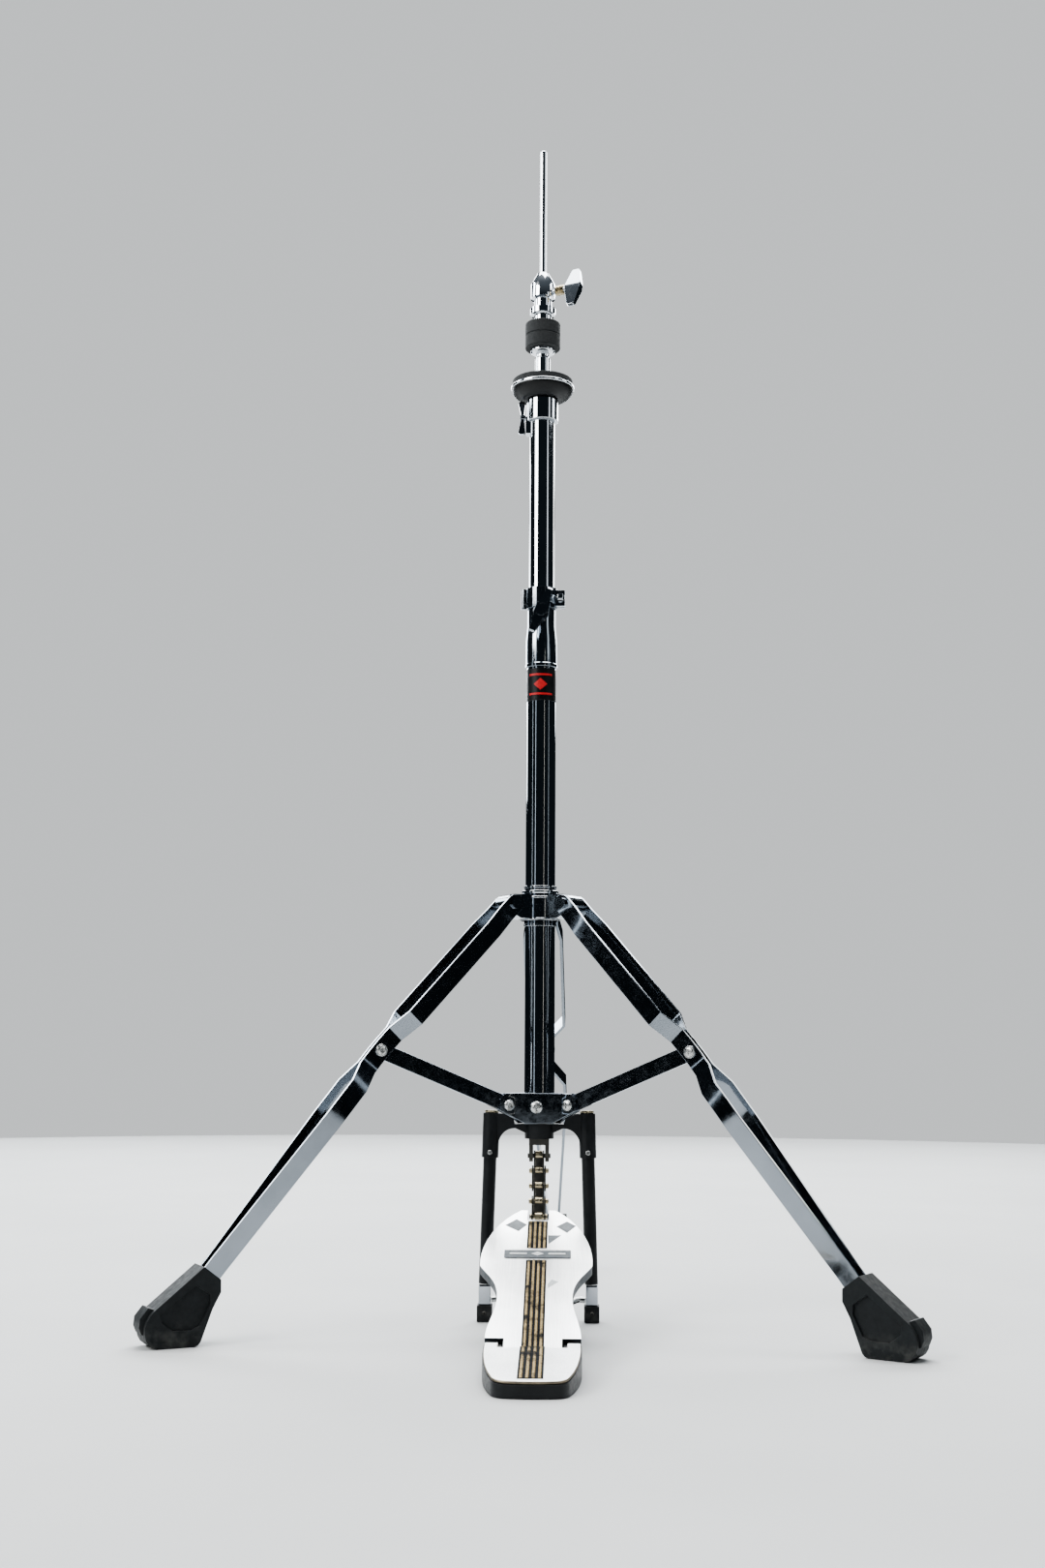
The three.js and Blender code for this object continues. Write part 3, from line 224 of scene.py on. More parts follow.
def dark_coat(name, tint, low, high, grain, relief, dust_height=0.0, sheen=0.0, shine=0.32):
    """Powder coat, moulded plastic or rubber: a pebbled dark surface, dusty near the floor."""
    material, tree, shader = start_material(name, Sheen_Weight=sheen, Specular_IOR_Level=shine)
    where = object_space(tree)
    deep = tuple(0.55 * value for value in tint)
    colour = ramp(tree, noise(tree, where, 70, 6, 0.65), [(0.35, deep), (0.75, tint)])
    if dust_height:
        parts = tree.nodes.new("ShaderNodeSeparateXYZ")
        tree.links.new(where, parts.inputs["Vector"])
        low_down = ramp(tree, parts.outputs["Z"], [(0.0, 0.5), (dust_height, 0.0)])
        mottle = ramp(tree, noise(tree, where, 110, 5), [(0.42, 0.0), (0.7, 1.0)])
        dust = blend_colours(tree, 1.0, low_down, mottle, "MULTIPLY")
        colour = blend_colours(tree, dust, colour, (0.13, 0.13, 0.12))
    finish = ramp(tree, noise(tree, where, 240, 5), [(0.3, low), (0.7, high)])
    tree.links.new(colour, shader.inputs["Base Color"])
    tree.links.new(finish, shader.inputs["Roughness"])
    bump(tree, shader, noise(tree, where, grain, 3), relief, 0.0003)
    return material


def brushed_sheet():
    """Bright sheet brushed along the board, with soft patches of wear."""
    material, tree, shader = start_material("brushed_aluminium", Metallic=1.0)
    turn = (-math.radians(BOARD_SLOPE), 0, 0)
    lines = noise(tree, object_space(tree, (1, 0.02, 1), turn), 1500, 5, 0.7)
    where = object_space(tree)
    shade = ramp(tree, noise(tree, where, 26, 3), [(0.4, 0.8), (0.6, 1.0)])
    colour = ramp(tree, lines, [(0.3, (0.78, 0.79, 0.79)), (0.62, (0.97, 0.97, 0.96))])
    colour = blend_colours(tree, 0.45, colour, shade, "MULTIPLY")
    tree.links.new(colour, shader.inputs["Base Color"])
    tree.links.new(ramp(tree, lines, [(0.25, 0.26), (0.75, 0.46)]), shader.inputs["Roughness"])
    bump(tree, shader, lines, 0.25, 0.0001)
    return material


def felt_cloth():
    """Pressed wool felt: matted fibres and a soft sheen."""
    material, tree, shader = start_material("black_felt", Sheen_Weight=0.12, Sheen_Roughness=0.6)
    where = object_space(tree)
    fibres = noise(tree, where, 1400, 8, 0.75)
    mats = noise(tree, where, 240, 4)
    colour = ramp(tree, fibres, [(0.35, (0.006, 0.007, 0.008)), (0.72, (0.045, 0.05, 0.053))])
    tree.links.new(colour, shader.inputs["Base Color"])
    tree.links.new(ramp(tree, mats, [(0.3, 0.85), (0.7, 1.0)]), shader.inputs["Roughness"])
    bump(tree, shader, mats, 0.5, 0.0006)
    bump(tree, shader, fibres, 0.8, 0.0003)
    return material


def grip_gold():
    """Gritted gold-brown ribs, worn dark in patches."""
    material, tree, shader = start_material("grip_ribs", Metallic=0.2, Specular_IOR_Level=0.2)
    where = object_space(tree)
    patches = ramp(tree, noise(tree, where, 70, 4), [(0.38, 0.0), (0.5, 1.0)])
    grit = noise(tree, where, 1300, 4, 0.7)
    gold = ramp(tree, grit, [(0.35, (0.2, 0.14, 0.06)), (0.65, (0.72, 0.57, 0.32))])
    dark = ramp(tree, grit, [(0.35, (0.006, 0.008, 0.01)), (0.7, (0.06, 0.055, 0.045))])
    tree.links.new(blend_colours(tree, patches, dark, gold), shader.inputs["Base Color"])
    tree.links.new(ramp(tree, grit, [(0.3, 0.35), (0.7, 0.7)]), shader.inputs["Roughness"])
    bump(tree, shader, grit, 0.4, 0.0002)
    return material


def print_ink(name, tint, rough):
    """A printed or foil surface with slight mottling."""
    material, tree, shader = start_material(name, Specular_IOR_Level=0.3)
    where = object_space(tree)
    deep = tuple(0.75 * value for value in tint)
    colour = ramp(tree, noise(tree, where, 400, 4), [(0.35, deep), (0.65, tint)])
    tree.links.new(colour, shader.inputs["Base Color"])
    finish = ramp(tree, noise(tree, where, 180, 4), [(0.3, rough), (0.7, rough + 0.15)])
    tree.links.new(finish, shader.inputs["Roughness"])
    bump(tree, shader, noise(tree, where, 1200, 2), 0.08, 0.0001)
    return material


MATERIALS = {
    "chrome": chrome("polished_chrome", (0.6, 0.63, 0.66), 0.03, 0.09, dust=0.8),
    "bright": chrome("bright_chrome", (0.8, 0.83, 0.86), 0.04, 0.13),
    "strip": chrome("strip_chrome", (0.3, 0.33, 0.365), 0.05, 0.15, wave=0.04),
    "wing": chrome("wing_chrome", (0.5, 0.53, 0.57), 0.05, 0.15),
    "dark_chrome": chrome("dark_chrome", (0.42, 0.46, 0.5), 0.06, 0.17),
    "steel": cast_metal("zinc_steel", (0.72, 0.73, 0.72), 0.22, 0.4, 900, 0.2),
    "chain": cast_metal("chain_steel", (0.1, 0.098, 0.09), 0.28, 0.5, 700, 0.3),
    "brass": cast_metal("chain_roller", (0.78, 0.68, 0.48), 0.2, 0.38, 700, 0.2),
    "casting": cast_metal("board_casting", (0.09, 0.1, 0.11), 0.35, 0.55, 500, 0.4),
    "paint": dark_coat("black_coat", (0.012, 0.014, 0.016), 0.3, 0.48, 1500, 0.25),
    "plastic": dark_coat("black_plastic", (0.012, 0.014, 0.015), 0.4, 0.6, 1100, 0.25, dust_height=0.02),
    "cup": dark_coat("satin_cup", (0.008, 0.009, 0.01), 0.32, 0.46, 1300, 0.15),
    "rubber": dark_coat(
        "moulded_rubber", (0.011, 0.0145, 0.0165), 0.46, 0.7, 800, 0.3, dust_height=0.02, sheen=0.03
    ),
    "felt": felt_cloth(),
    "label": print_ink("label_foil", (0.006, 0.007, 0.008), 0.3),
    "mark": print_ink("label_mark", (0.62, 0.035, 0.035), 0.4),
    "aluminium": brushed_sheet(),
    "grey": print_ink("grey_print", (0.09, 0.108, 0.12), 0.4),
    "pale": print_ink("pale_print", (0.7, 0.72, 0.72), 0.4),
    "faint": print_ink("faint_print", (0.5, 0.53, 0.54), 0.4),
    "inlay": dark_coat("inlay_base", (0.006, 0.007, 0.009), 0.6, 0.8, 900, 0.4, shine=0.06),
    # painted shade: a darker brown metal for the heel plate's sides and rounded rim
    "rim_painted_shade": cast_metal("heel_rim_painted_shade", (0.34, 0.29, 0.22), 0.3, 0.5, 600, 0.2),
    "ribs": grip_gold(),
}


# ------------------------------------------------------------------ mesh helpers


def body_of(node):
    """The body that carries a node."""
    return frame["nodes"][node]["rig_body"]


def place(name, mesh, body, looks, stands_for=(), matrix=None):
    """Makes a piece from a bmesh: scales it to metres, shades it, gives it its look and its body."""
    if matrix is not None:
        mesh.transform(matrix)
    bmesh.ops.scale(mesh, vec=(MM, MM, MM), verts=mesh.verts)
    bmesh.ops.recalc_face_normals(mesh, faces=mesh.faces)
    for face in mesh.faces:
        face.smooth = True
    for edge in mesh.edges:
        if len(edge.link_faces) == 2 and edge.calc_face_angle(0) > SMOOTH_ANGLE:
            edge.smooth = False
    data = bpy.data.meshes.new(name)
    mesh.to_mesh(data)
    mesh.free()
    piece = bpy.data.objects.new(name, data)
    bpy.context.scene.collection.objects.link(piece)
    for look in looks:
        data.materials.append(MATERIALS[look])
    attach(piece, body)
    settle(piece)
    if stands_for:
        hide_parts(*stands_for)
    return piece


def settle(piece):
    """Keeps the shading of flat faces flat beside their rounded edges."""
    weigh = piece.modifiers.new("weigh", "WEIGHTED_NORMAL")
    weigh.mode = "FACE_AREA"
    weigh.weight = 100
    weigh.keep_sharp = True
    graph = bpy.context.evaluated_depsgraph_get()
    shaded = bpy.data.meshes.new_from_object(piece.evaluated_get(graph), depsgraph=graph)
    piece.modifiers.clear()
    piece.data = shaded


def carved(mesh, tool):
    """A mesh with the shape of a tool mesh cut out of it."""
    parts = []
    for source in (mesh, tool):
        data = bpy.data.meshes.new("carving")
        source.to_mesh(data)
        source.free()
        part = bpy.data.objects.new("carving", data)
        bpy.context.scene.collection.objects.link(part)
        parts.append(part)
    whole, cutter = parts
    cutting = whole.modifiers.new("cut", "BOOLEAN")
    cutting.operation = "DIFFERENCE"
    cutting.solver = "EXACT"
    cutting.object = cutter
    graph = bpy.context.evaluated_depsgraph_get()
    shape = bpy.data.meshes.new_from_object(whole.evaluated_get(graph), depsgraph=graph)
    for part in parts:
        data = part.data
        bpy.data.objects.remove(part)
        bpy.data.meshes.remove(data)
    rest = bmesh.new()
    rest.from_mesh(shape)
    bpy.data.meshes.remove(shape)
    return rest


def round_edges(mesh, width, segments=2):
    """Rounds a mesh's sharp edges."""
    sharp = [
        edge for edge in mesh.edges
        if len(edge.link_faces) == 2 and edge.calc_face_angle(0) > BEVEL_ANGLE
    ]
    if sharp:
        bmesh.ops.bevel(
            mesh, geom=sharp, offset=width, segments=segments, profile=0.5,
            affect="EDGES", clamp_overlap=True,
        )


def refined(node, looks, width=0.3, segments=2, paint=None, hollow=None):
    """A node's own shape with clean faces, rounded edges and smooth curves."""
    mesh = bmesh.new()
    mesh.from_mesh(frame["nodes"][node].data)
    bmesh.ops.remove_doubles(mesh, verts=mesh.verts, dist=2e-6)
    bmesh.ops.dissolve_limit(
        mesh, angle_limit=math.radians(0.6), verts=mesh.verts, edges=mesh.edges
    )
    bmesh.ops.scale(mesh, vec=(1 / MM, 1 / MM, 1 / MM), verts=mesh.verts)
    if hollow:
        mesh = carved(mesh, hollow)
    if width:
        round_edges(mesh, width, segments)
    if paint:
        mesh.normal_update()
        for face in mesh.faces:
            face.material_index = paint(face)
    return place(node + "_look", mesh, body_of(node), looks, [node])


def lathe(mesh, profile, segments, matrix=None):
    """Turns a closed [radius, height] profile about Z."""
    rings = []
    for step in range(segments):
        angle = 2 * math.pi * step / segments
        side = Vector((math.cos(angle), math.sin(angle), 0))
        rings.append([mesh.verts.new(side * r + Vector((0, 0, z))) for r, z in profile])
    made = [vertex for ring in rings for vertex in ring]
    count = len(profile)
    for step in range(segments):
        one, two = rings[step], rings[(step + 1) % segments]
        for i in range(count):
            k = (i + 1) % count
            mesh.faces.new((one[i], two[i], two[k], one[k]))
    if matrix is not None:
        bmesh.ops.transform(mesh, matrix=matrix, verts=made)
    bmesh.ops.remove_doubles(mesh, verts=made, dist=1e-5)


def rounded(profile, radius, steps=3):
    """A closed profile with its corners rounded."""
    points = []
    count = len(profile)
    for i, corner in enumerate(profile):
        here = Vector(corner)
        before = Vector(profile[i - 1]) - here
        after = Vector(profile[(i + 1) % count]) - here
        turn = math.pi - before.angle(after)
        on_axis = here.x < 1e-6
        reach = min(radius, 0.45 * before.length, 0.45 * after.length)
        if on_axis or turn < math.radians(12) or reach < 1e-4:
            points.append(tuple(here))
            continue
        start = here + before.normalized() * reach
        end = here + after.normalized() * reach
        for step in range(steps + 1):
            t = step / steps
            point = start * (1 - t) ** 2 + here * (2 * t * (1 - t)) + end * t ** 2
            points.append(tuple(point))
    return points


def prism(mesh, outline, low, high, matrix=None):
    """An outline in the XY plane, thick from one height to another."""
    bottom = [mesh.verts.new((x, y, low)) for x, y in outline]
    top = [mesh.verts.new((x, y, high)) for x, y in outline]
    count = len(outline)
    mesh.faces.new(list(reversed(bottom)))
    mesh.faces.new(top)
    for i in range(count):
        k = (i + 1) % count
        mesh.faces.new((bottom[i], bottom[k], top[k], top[i]))
    if matrix is not None:
        bmesh.ops.transform(mesh, matrix=matrix, verts=bottom + top)


def skin(mesh, rings):
    """Joins rings of vertices, each to the next, and closes both ends."""
    count = len(rings[0])
    for one, two in zip(rings, rings[1:]):
        for i in range(count):
            k = (i + 1) % count
            mesh.faces.new((one[i], one[k], two[k], two[i]))
    mesh.faces.new(list(reversed(rings[0])))
    mesh.faces.new(rings[-1])


def pipe(mesh, points, radius, around):
    """A round wire along points, with flat ends."""
    rings = []
    side = None
    for i, point in enumerate(points):
        ahead = points[min(i + 1, len(points) - 1)] - points[max(i - 1, 0)]
        ahead.normalize()
        if side is None:
            side = ahead.orthogonal().normalized()
        side = (side - ahead * side.dot(ahead)).normalized()
        other = ahead.cross(side)
        ring = []
        for step in range(around):
            angle = 2 * math.pi * step / around
            spoke = side * math.cos(angle) + other * math.sin(angle)
            ring.append(mesh.verts.new(point + radius * spoke))
        rings.append(ring)
    skin(mesh, rings)


def smooth_path(points, per_span=8):
    """Points along a smooth curve through the given ones."""
    path = []
    padded = [2 * points[0] - points[1], *points, 2 * points[-1] - points[-2]]
    for i in range(1, len(padded) - 2):
        a, b, c, d = padded[i - 1], padded[i], padded[i + 1], padded[i + 2]
        for step in range(per_span):
            t = step / per_span
            path.append(
                0.5 * (2 * b + (c - a) * t + (2 * a - 5 * b + 4 * c - d) * t ** 2
                       + (3 * b - a - 3 * c + d) * t ** 3)
            )
    path.append(points[-1].copy())
    return path


def pointing(outward, at):
    """A matrix that turns +Z to a direction and moves the origin to a point."""
    turn = outward.normalized().to_track_quat("Z", "Y")
    return Matrix.Translation(at) @ turn.to_matrix().to_4x4()


def turned(degrees, axis):
    """A rotation matrix about an axis through the origin."""
    return Matrix.Rotation(math.radians(degrees), 4, axis)


def polar(azimuth, r=1, z=0):
    """The point at an azimuth, a radius and a height; by default the level direction there."""
    angle = math.radians(azimuth)
    return Vector((math.cos(angle) * r, math.sin(angle) * r, z))


def band(inner, outer, bottom, top):
    """The closed profile of a ring, or of a disc where inner is 0."""
    return [(inner, bottom), (outer, bottom), (outer, top), (inner, top)]


def bar_outline(half, start, end):
    """The outline of a straight bar along Y, even about X = 0."""
    return [(-half, start), (half, start), (half, end), (-half, end)]


BOARD_PLACE = Matrix.Translation(HINGE) @ turned(BOARD_SLOPE, "X")
HEEL_PLACE = Matrix.Translation(HEEL_PLATE_BACK) @ turned(HEEL_SLOPE, "X")
CHAIN_PLACE = Matrix.Translation((0, 0, YOKE_PIN_Z)) @ turned(-CHAIN_TILT, "X")


# ------------------------------------------------------------------ columns

for node in ("lower_tube", "upper_tube", "tilter_cap"):
    refined(node, ["chrome"], 0.3)
refined("height_clamp", ["dark_chrome"], 0.5)
refined("memory_lock", ["dark_chrome"], 0.4)
refined("memory_lock_bolt", ["bright"], 0.5)
refined("pull_rod", ["bright"])
refined("pull_rod_lower", ["steel"])
for node in ("clamp_wing_bolt", "hub_wing_bolt", "tilter_wing_screw", "clutch_wing_screw"):
    refined(node, ["wing"], 0.9, 3)


def box_mm(node):
    """A node's lowest and highest corners in millimetres."""
    low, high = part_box(node)
    return low / MM, high / MM


def curved_patch(mesh, span, middle, half_height, inner, outer, centre, steps=16):
    """A thin patch round the tube; half_height gives half its height from -1 to 1 across it."""
    columns = []
    for step in range(steps + 1):
        share = 2 * step / steps - 1
        side = polar(centre + share * span / 2)
        half = half_height(share)
        corners = band(inner, outer, middle - half, middle + half)
        columns.append([mesh.verts.new(side * r + Vector((0, 0, z))) for r, z in corners])
    skin(mesh, columns)


def label_mark():
    """A plain red mark on the label: a lozenge between two bars, on each of two sides."""
    mesh = bmesh.new()
    low, high = box_mm("label_band")
    middle = (low.z + high.z) / 2
    inner, outer = high.x - 0.05, high.x + 0.12
    for centre in (-92, 88):
        for height in (-8.5, 8.5):
            curved_patch(mesh, 96, middle + height, lambda share: 0.9, inner, outer, centre)
        curved_patch(
            mesh, 52, middle, lambda share: 5.2 * (1.02 - abs(share)), inner, outer, centre
        )
    place("label_mark", mesh, body_of("label_band"), ["mark"])


refined("label_band", ["label"], 0.1)
label_mark()

# ------------------------------------------------------------------ seat and clutch

refined("seat_cup", ["cup"], 0.4)
refined("seat_plate", ["bright"], 0.3)
refined("seat_felt", ["felt"], 0.5, 3)
refined("clutch_body", ["bright"], 0.4)
refined("clutch_felt_upper", ["felt"], 0.9, 3)
refined("clutch_felt_lower", ["felt"], 0.9, 3)
refined("clutch_nut", ["bright"], 0.3)


def ridged_neck():
    """The threaded neck of the clutch's wing screw."""
    bore, root, crest = 3.5, 3.95, 4.5
    start, end, pitch = 13.2, 22.6, 1.1
    profile = [(bore, start)]
    turns = int((end - start) / pitch)
    for turn in range(turns):
        profile.append((root, start + turn * pitch))
        profile.append((crest, start + (turn + 0.5) * pitch))
    profile.append((root, start + turns * pitch))
    profile.append((bore, start + turns * pitch))
    mesh = bmesh.new()
    lathe(mesh, profile, 40, pointing(polar(CLUTCH_SCREW_AZIMUTH), Vector((0, 0, CLUTCH_SCREW_Z))))
    place("clutch_screw_thread", mesh, body_of("clutch_wing_screw"), ["brass"])


ridged_neck()

# ------------------------------------------------------------------ screws and rivets


def screw_head(mesh, radius, height, kind):
    """Adds a head with its seat at the origin, pointing along +Z, and returns the mesh.

    A domed head is plain, a hollow one has a round well and a cross one has a cross slot.
    """
    crown = [(0, height), (0.45 * radius, 0.93 * height), (0.75 * radius, 0.74 * height)]
    rim = [(0.93 * radius, 0.45 * height), (radius, 0.16 * height), (radius, 0)]
    if kind == "hollow":
        well = [(0, 0.25 * height), (0.36 * radius, 0.25 * height), (0.4 * radius, 0.9 * height)]
        lathe(mesh, [(0, 0), *well, (0.62 * radius, height), crown[2], *rim], 40)
        return mesh
    lathe(mesh, [(0, 0), *crown, *rim], 40)
    if kind == "domed":
        return mesh
    half, reach = 0.11 * radius, 0.56 * radius
    for turn in (0, 90):
        tool = bmesh.new()
        prism(tool, bar_outline(reach, -half, half), 0.3 * height, 1.5 * height, turned(turn, "Z"))
        mesh = carved(mesh, tool)
    return mesh


def tangent(leg):
    """The level direction across a leg's plane."""
    return polar(LEG_AZIMUTHS[leg] + 90)


def strut_pin(leg, kinds):
    """A strut's pin with a head at each end."""
    shank_r, half_length, head_r, head_height = 3, 4.1, 4.6, 2
    middle = polar(LEG_AZIMUTHS[leg], STRUT_PIN_R, STRUT_PIN_Z)
    across = tangent(leg)
    mesh = bmesh.new()
    for sign, kind in zip((1, -1), kinds):
        head = screw_head(bmesh.new(), head_r, head_height, kind)
        head.transform(pointing(across * sign, middle + across * sign * half_length))
        data = bpy.data.meshes.new("head")
        head.to_mesh(data)
        head.free()
        mesh.from_mesh(data)
        bpy.data.meshes.remove(data)
    lathe(mesh, band(0, shank_r, -half_length, half_length), 32, pointing(across, middle))
    node = f"strut_pin_{leg}"
    place(node + "_look", mesh, body_of(node), ["steel"], [node])


STRUT_HEADS = {"left": ("hollow", "domed"), "right": ("domed", "cross"), "rear": ("domed", "cross")}
for leg, kinds in STRUT_HEADS.items():
    strut_pin(leg, kinds)


def knee_head(leg, side, kind):
    """The screw at a knee: its washer and head outside the strip, its shank within."""
    outward = tangent(leg) * side
    middle = polar(LEG_AZIMUTHS[leg], KNEE_R, KNEE_Z)
    washer_face = 5.8
    mesh = screw_head(bmesh.new(), 3.9, 1.0, kind)
    mesh.transform(pointing(outward, middle + outward * washer_face))
    lathe(mesh, rounded(band(0, 5, 4.4, washer_face), 0.5), 40, pointing(outward, middle))
    lathe(mesh, band(0, 3, 1.8, 4.5), 32, pointing(outward, middle))
    node = f"knee_screw_{leg}"
    place(node + "_look", mesh, body_of(node), ["steel"], [node])


knee_head("right", -1, "cross")
knee_head("left", 1, "hollow")
knee_head("rear", -1, "cross")


def plate_screw(side, azimuth):
    """The cross-head screw in the middle of a bracket plate."""
    outward = polar(azimuth + LEG_SPIN)
    across = Vector((-outward.y, outward.x, 0))
    mesh = screw_head(bmesh.new(), 5.2, 2.6, "cross")
    at = outward * 15.15 - across * 1.6 + Vector((0, 0, BRACKET_SCREW_Z))
    mesh.transform(pointing(outward, at))
    place(f"bracket_screw_{side}", mesh, body_of(f"bracket_plate_{side}"), ["steel"])


for side, azimuth in (("front", -90), ("right", 30), ("left", 150)):
    refined(f"bracket_plate_{side}", ["strip"], 0.6, 3)
    plate_screw(side, azimuth)

# ------------------------------------------------------------------ legs

STRIPS = {"right": ("front", "back"), "left": ("front", "back"), "rear": ("right", "left")}
for leg, sides in STRIPS.items():
    for side in sides:
        refined(f"leg_{leg}_strip_{side}", ["strip"], 0.45, 3)
    refined(f"strut_{leg}", ["strip"], 1.3, 4)
refined("leg_hub", ["dark_chrome"], 0.6, 3)


def hub_rings():
    """The polished rings round the hub's collars."""
    inner = 13.4
    mesh = bmesh.new()
    for outer, bottom, top in (
        (14.0, 356.4, 358.2), (15.7, 351.9, 354.3), (16.9, 347.2, 349.1), (16.9, 328.8, 330.6),
        (14.0, 323.9, 325.7),
    ):
        lathe(mesh, rounded(band(inner, outer, bottom, top), 0.6), 72)
    place("hub_rings", mesh, body_of("leg_hub"), ["bright"])


hub_rings()


def boot_hollow(leg):
    """The two sunk panels in a boot's sides, in the leg's plane."""
    panel = [
        (295, 44.5), (284, 37), (283.5, 30), (291, 15), (297, 12), (311, 12), (320, 18.5), (321, 25),
    ]
    upright = turned(LEG_AZIMUTHS[leg], "Z") @ turned(90, "X")
    floor, beyond = 10.8, 16
    tool = bmesh.new()
    for low, high in ((floor, beyond), (-beyond, -floor)):
        prism(tool, panel, low, high, upright)
    return tool


for leg in LEG_AZIMUTHS:
    refined(f"boot_{leg}", ["rubber"], 1.0, 3, hollow=boot_hollow(leg))

# ------------------------------------------------------------------ pedal frame


def frame_rod_line(side):
    """A frame rod's top end and its direction down; side is -1 for the left and 1 for the right."""
    head = Vector((side * 40, 0, 168.5))
    foot = Vector((side * 43.7, -11.3, 29.3))
    return head, (foot - head).normalized()


def set_screw(name, side):
    """The small socket screw in front of a frame rod's socket."""
    head, along = frame_rod_line(side)
    outward = (FRONT - along * FRONT.dot(along)).normalized()
    at = head + along * 34 + outward * 6.7
    profile = [(0, 0), (1.9, 0), (1.9, 1.0), (1.5, 1.3), (1.05, 1.3), (0.95, 0.4), (0, 0.4)]
    mesh = bmesh.new()
    lathe(mesh, profile, 24, pointing(outward, at))
    place(name, mesh, "stand", ["steel"])


def rod_cap(name, side):
    """The plated plug in a frame rod's open top end."""
    head, along = frame_rod_line(side)
    sunk = 0.4
    mesh = bmesh.new()
    lathe(mesh, rounded(band(0, 5.8, -0.6, 1.2), 0.4), 48, pointing(-along, head + along * sunk))
    place(name, mesh, "stand", ["brass"])


def foot_screw(name, side):
    """The small screw in the front of a frame foot."""
    mesh = screw_head(bmesh.new(), 1.9, 0.9, "hollow")
    mesh.transform(pointing(FRONT, Vector((side * 44, -19.7, 7))))
    place(name, mesh, "stand", ["chain"])


def link_wire(side_name, side):
    """The round link from a frame foot to the heel base."""
    path = [
        Vector((side * x, y, z))
        for x, y, z in (
            (38.7, -12, 17), (32, -12, 17), (25.5, -20, 14), (24.5, -42, 9), (25.5, -140, 6),
            (26.5, -232.2, 6),
        )
    ]
    mesh = bmesh.new()
    pipe(mesh, smooth_path(path), 2.5, 20)
    node = f"radius_rod_{side_name}"
    place(node + "_look", mesh, body_of(node), ["steel"], [node])


def heel_gap():
    """The clearance that the footboard's shoulders and tongue have in the heel plate."""
    side, notch, back, front, behind = 40, 23.9, -235.8, -247, -220
    tool = bmesh.new()
    outline = [
        (-side, back), (-notch, back), (-notch, front), (notch, front), (notch, back), (side, back),
        (side, behind), (-side, behind),
    ]
    prism(tool, outline, 5, 40)
    return tool


def heel_paint(face):
    """The heel plate's top is bright sheet; its rounded rim and sides, every face not facing up, get a
    darker brown metal as painted shade.
    """
    return 0 if face.normal.z > 0.9 else 1


refined("frame_yoke", ["paint"], 0.8, 3)
for name, side in (("left", -1), ("right", 1)):
    refined(f"frame_rod_{name}", ["paint"], 0.5)
    refined(f"foot_collar_{name}", ["wing"], 0.7)
    refined(f"frame_foot_{name}", ["plastic"], 0.8)
    set_screw(f"socket_screw_{name}", side)
    rod_cap(f"rod_cap_{name}", side)
    foot_screw(f"foot_screw_{name}", side)
    link_wire(name, side)
refined("heel_base", ["paint"], 0.8, 3)
# the heel plate's faces that don't face up get the darker brown metal as painted shade
refined("heel_plate", ["aluminium", "rim_painted_shade"], 1.0, 3, heel_paint, heel_gap())
refined("hinge_pin", ["steel"])

# ------------------------------------------------------------------ chain

refined("pull_yoke", ["chain"], 0.4)
spring = refined("return_spring", ["steel"], 0)
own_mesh(spring)


def waisted_outline(pitch, radius, waist, steps=10):
    """A chain plate's outline, from one pin at the origin to the next below it."""
    outline = []
    for step in range(steps + 1):
        angle = math.pi * (step / steps)
        outline.append((radius * math.cos(angle), radius * math.sin(angle)))
    outline.append((-waist, -pitch / 2))
    for step in range(steps + 1):
        angle = math.pi * (1 + step / steps)
        outline.append((radius * math.cos(angle), -pitch + radius * math.sin(angle)))
    outline.append((waist, -pitch / 2))
    return outline


def chain_plates():
    """The chain's side plates, inner and outer pairs by turns."""
    mesh = bmesh.new()
    upright = turned(90, "Z") @ turned(90, "X")
    for link in range(CHAIN_LINKS):
        low, high = ((3.15, 4.35), (4.6, 5.8))[link % 2]
        drop = Matrix.Translation((0, 0, -link * CHAIN_PITCH))
        for span in ((low, high), (-high, -low)):
            prism(mesh, waisted_outline(CHAIN_PITCH, 4.5, 3.1), *span, CHAIN_PLACE @ drop @ upright)
    round_edges(mesh, 0.25, 2)
    place("chain_plates", mesh, body_of("drive_chain"), ["chain"], ["drive_chain"])


def chain_link_blocks():
    """The dark block that fills each link between its plates."""
    gap, half_depth = 1.9, 3.3
    mesh = bmesh.new()
    for link in range(CHAIN_LINKS):
        top = -link * CHAIN_PITCH - gap
        bottom = -(link + 1) * CHAIN_PITCH + gap
        half_width = (3.1, 4.55)[link % 2]
        outline = bar_outline(half_width, -half_depth, half_depth)
        prism(mesh, outline, bottom, top, CHAIN_PLACE)
    round_edges(mesh, 0.8, 3)
    place("chain_link_blocks", mesh, body_of("drive_chain"), ["chain"])


def chain_round_parts():
    """The rollers between the plates and the pins' heads outside them."""
    rollers, pins = bmesh.new(), bmesh.new()
    across = turned(90, "Y")
    for pin in range(CHAIN_LINKS + 1):
        where = CHAIN_PLACE @ Matrix.Translation((0, 0, -pin * CHAIN_PITCH)) @ across
        lathe(rollers, rounded(band(2.3, 4.05, -3.0, 3.0), 0.5), 36, where)
        if pin:
            reach = 8.3 if pin < CHAIN_LINKS else 7.5
            stem = [(0, -reach), (1.5, -reach), (2.1, 0.5 - reach), (2.1, reach - 0.5), (1.5, reach)]
            lathe(pins, [*stem, (0, reach)], 28, where)
    place("chain_rollers", rollers, body_of("drive_chain"), ["brass"])
    place("chain_pins", pins, body_of("drive_chain"), ["brass"])


chain_plates()
chain_link_blocks()
chain_round_parts()

# ------------------------------------------------------------------ footboard


def board_paint(face):
    """The board's upper face is bright sheet; its sides and underside are the casting."""
    local = BOARD_PLACE.inverted() @ face.calc_center_median()
    return 0 if local.z > BOARD_TOP - 0.5 else 1


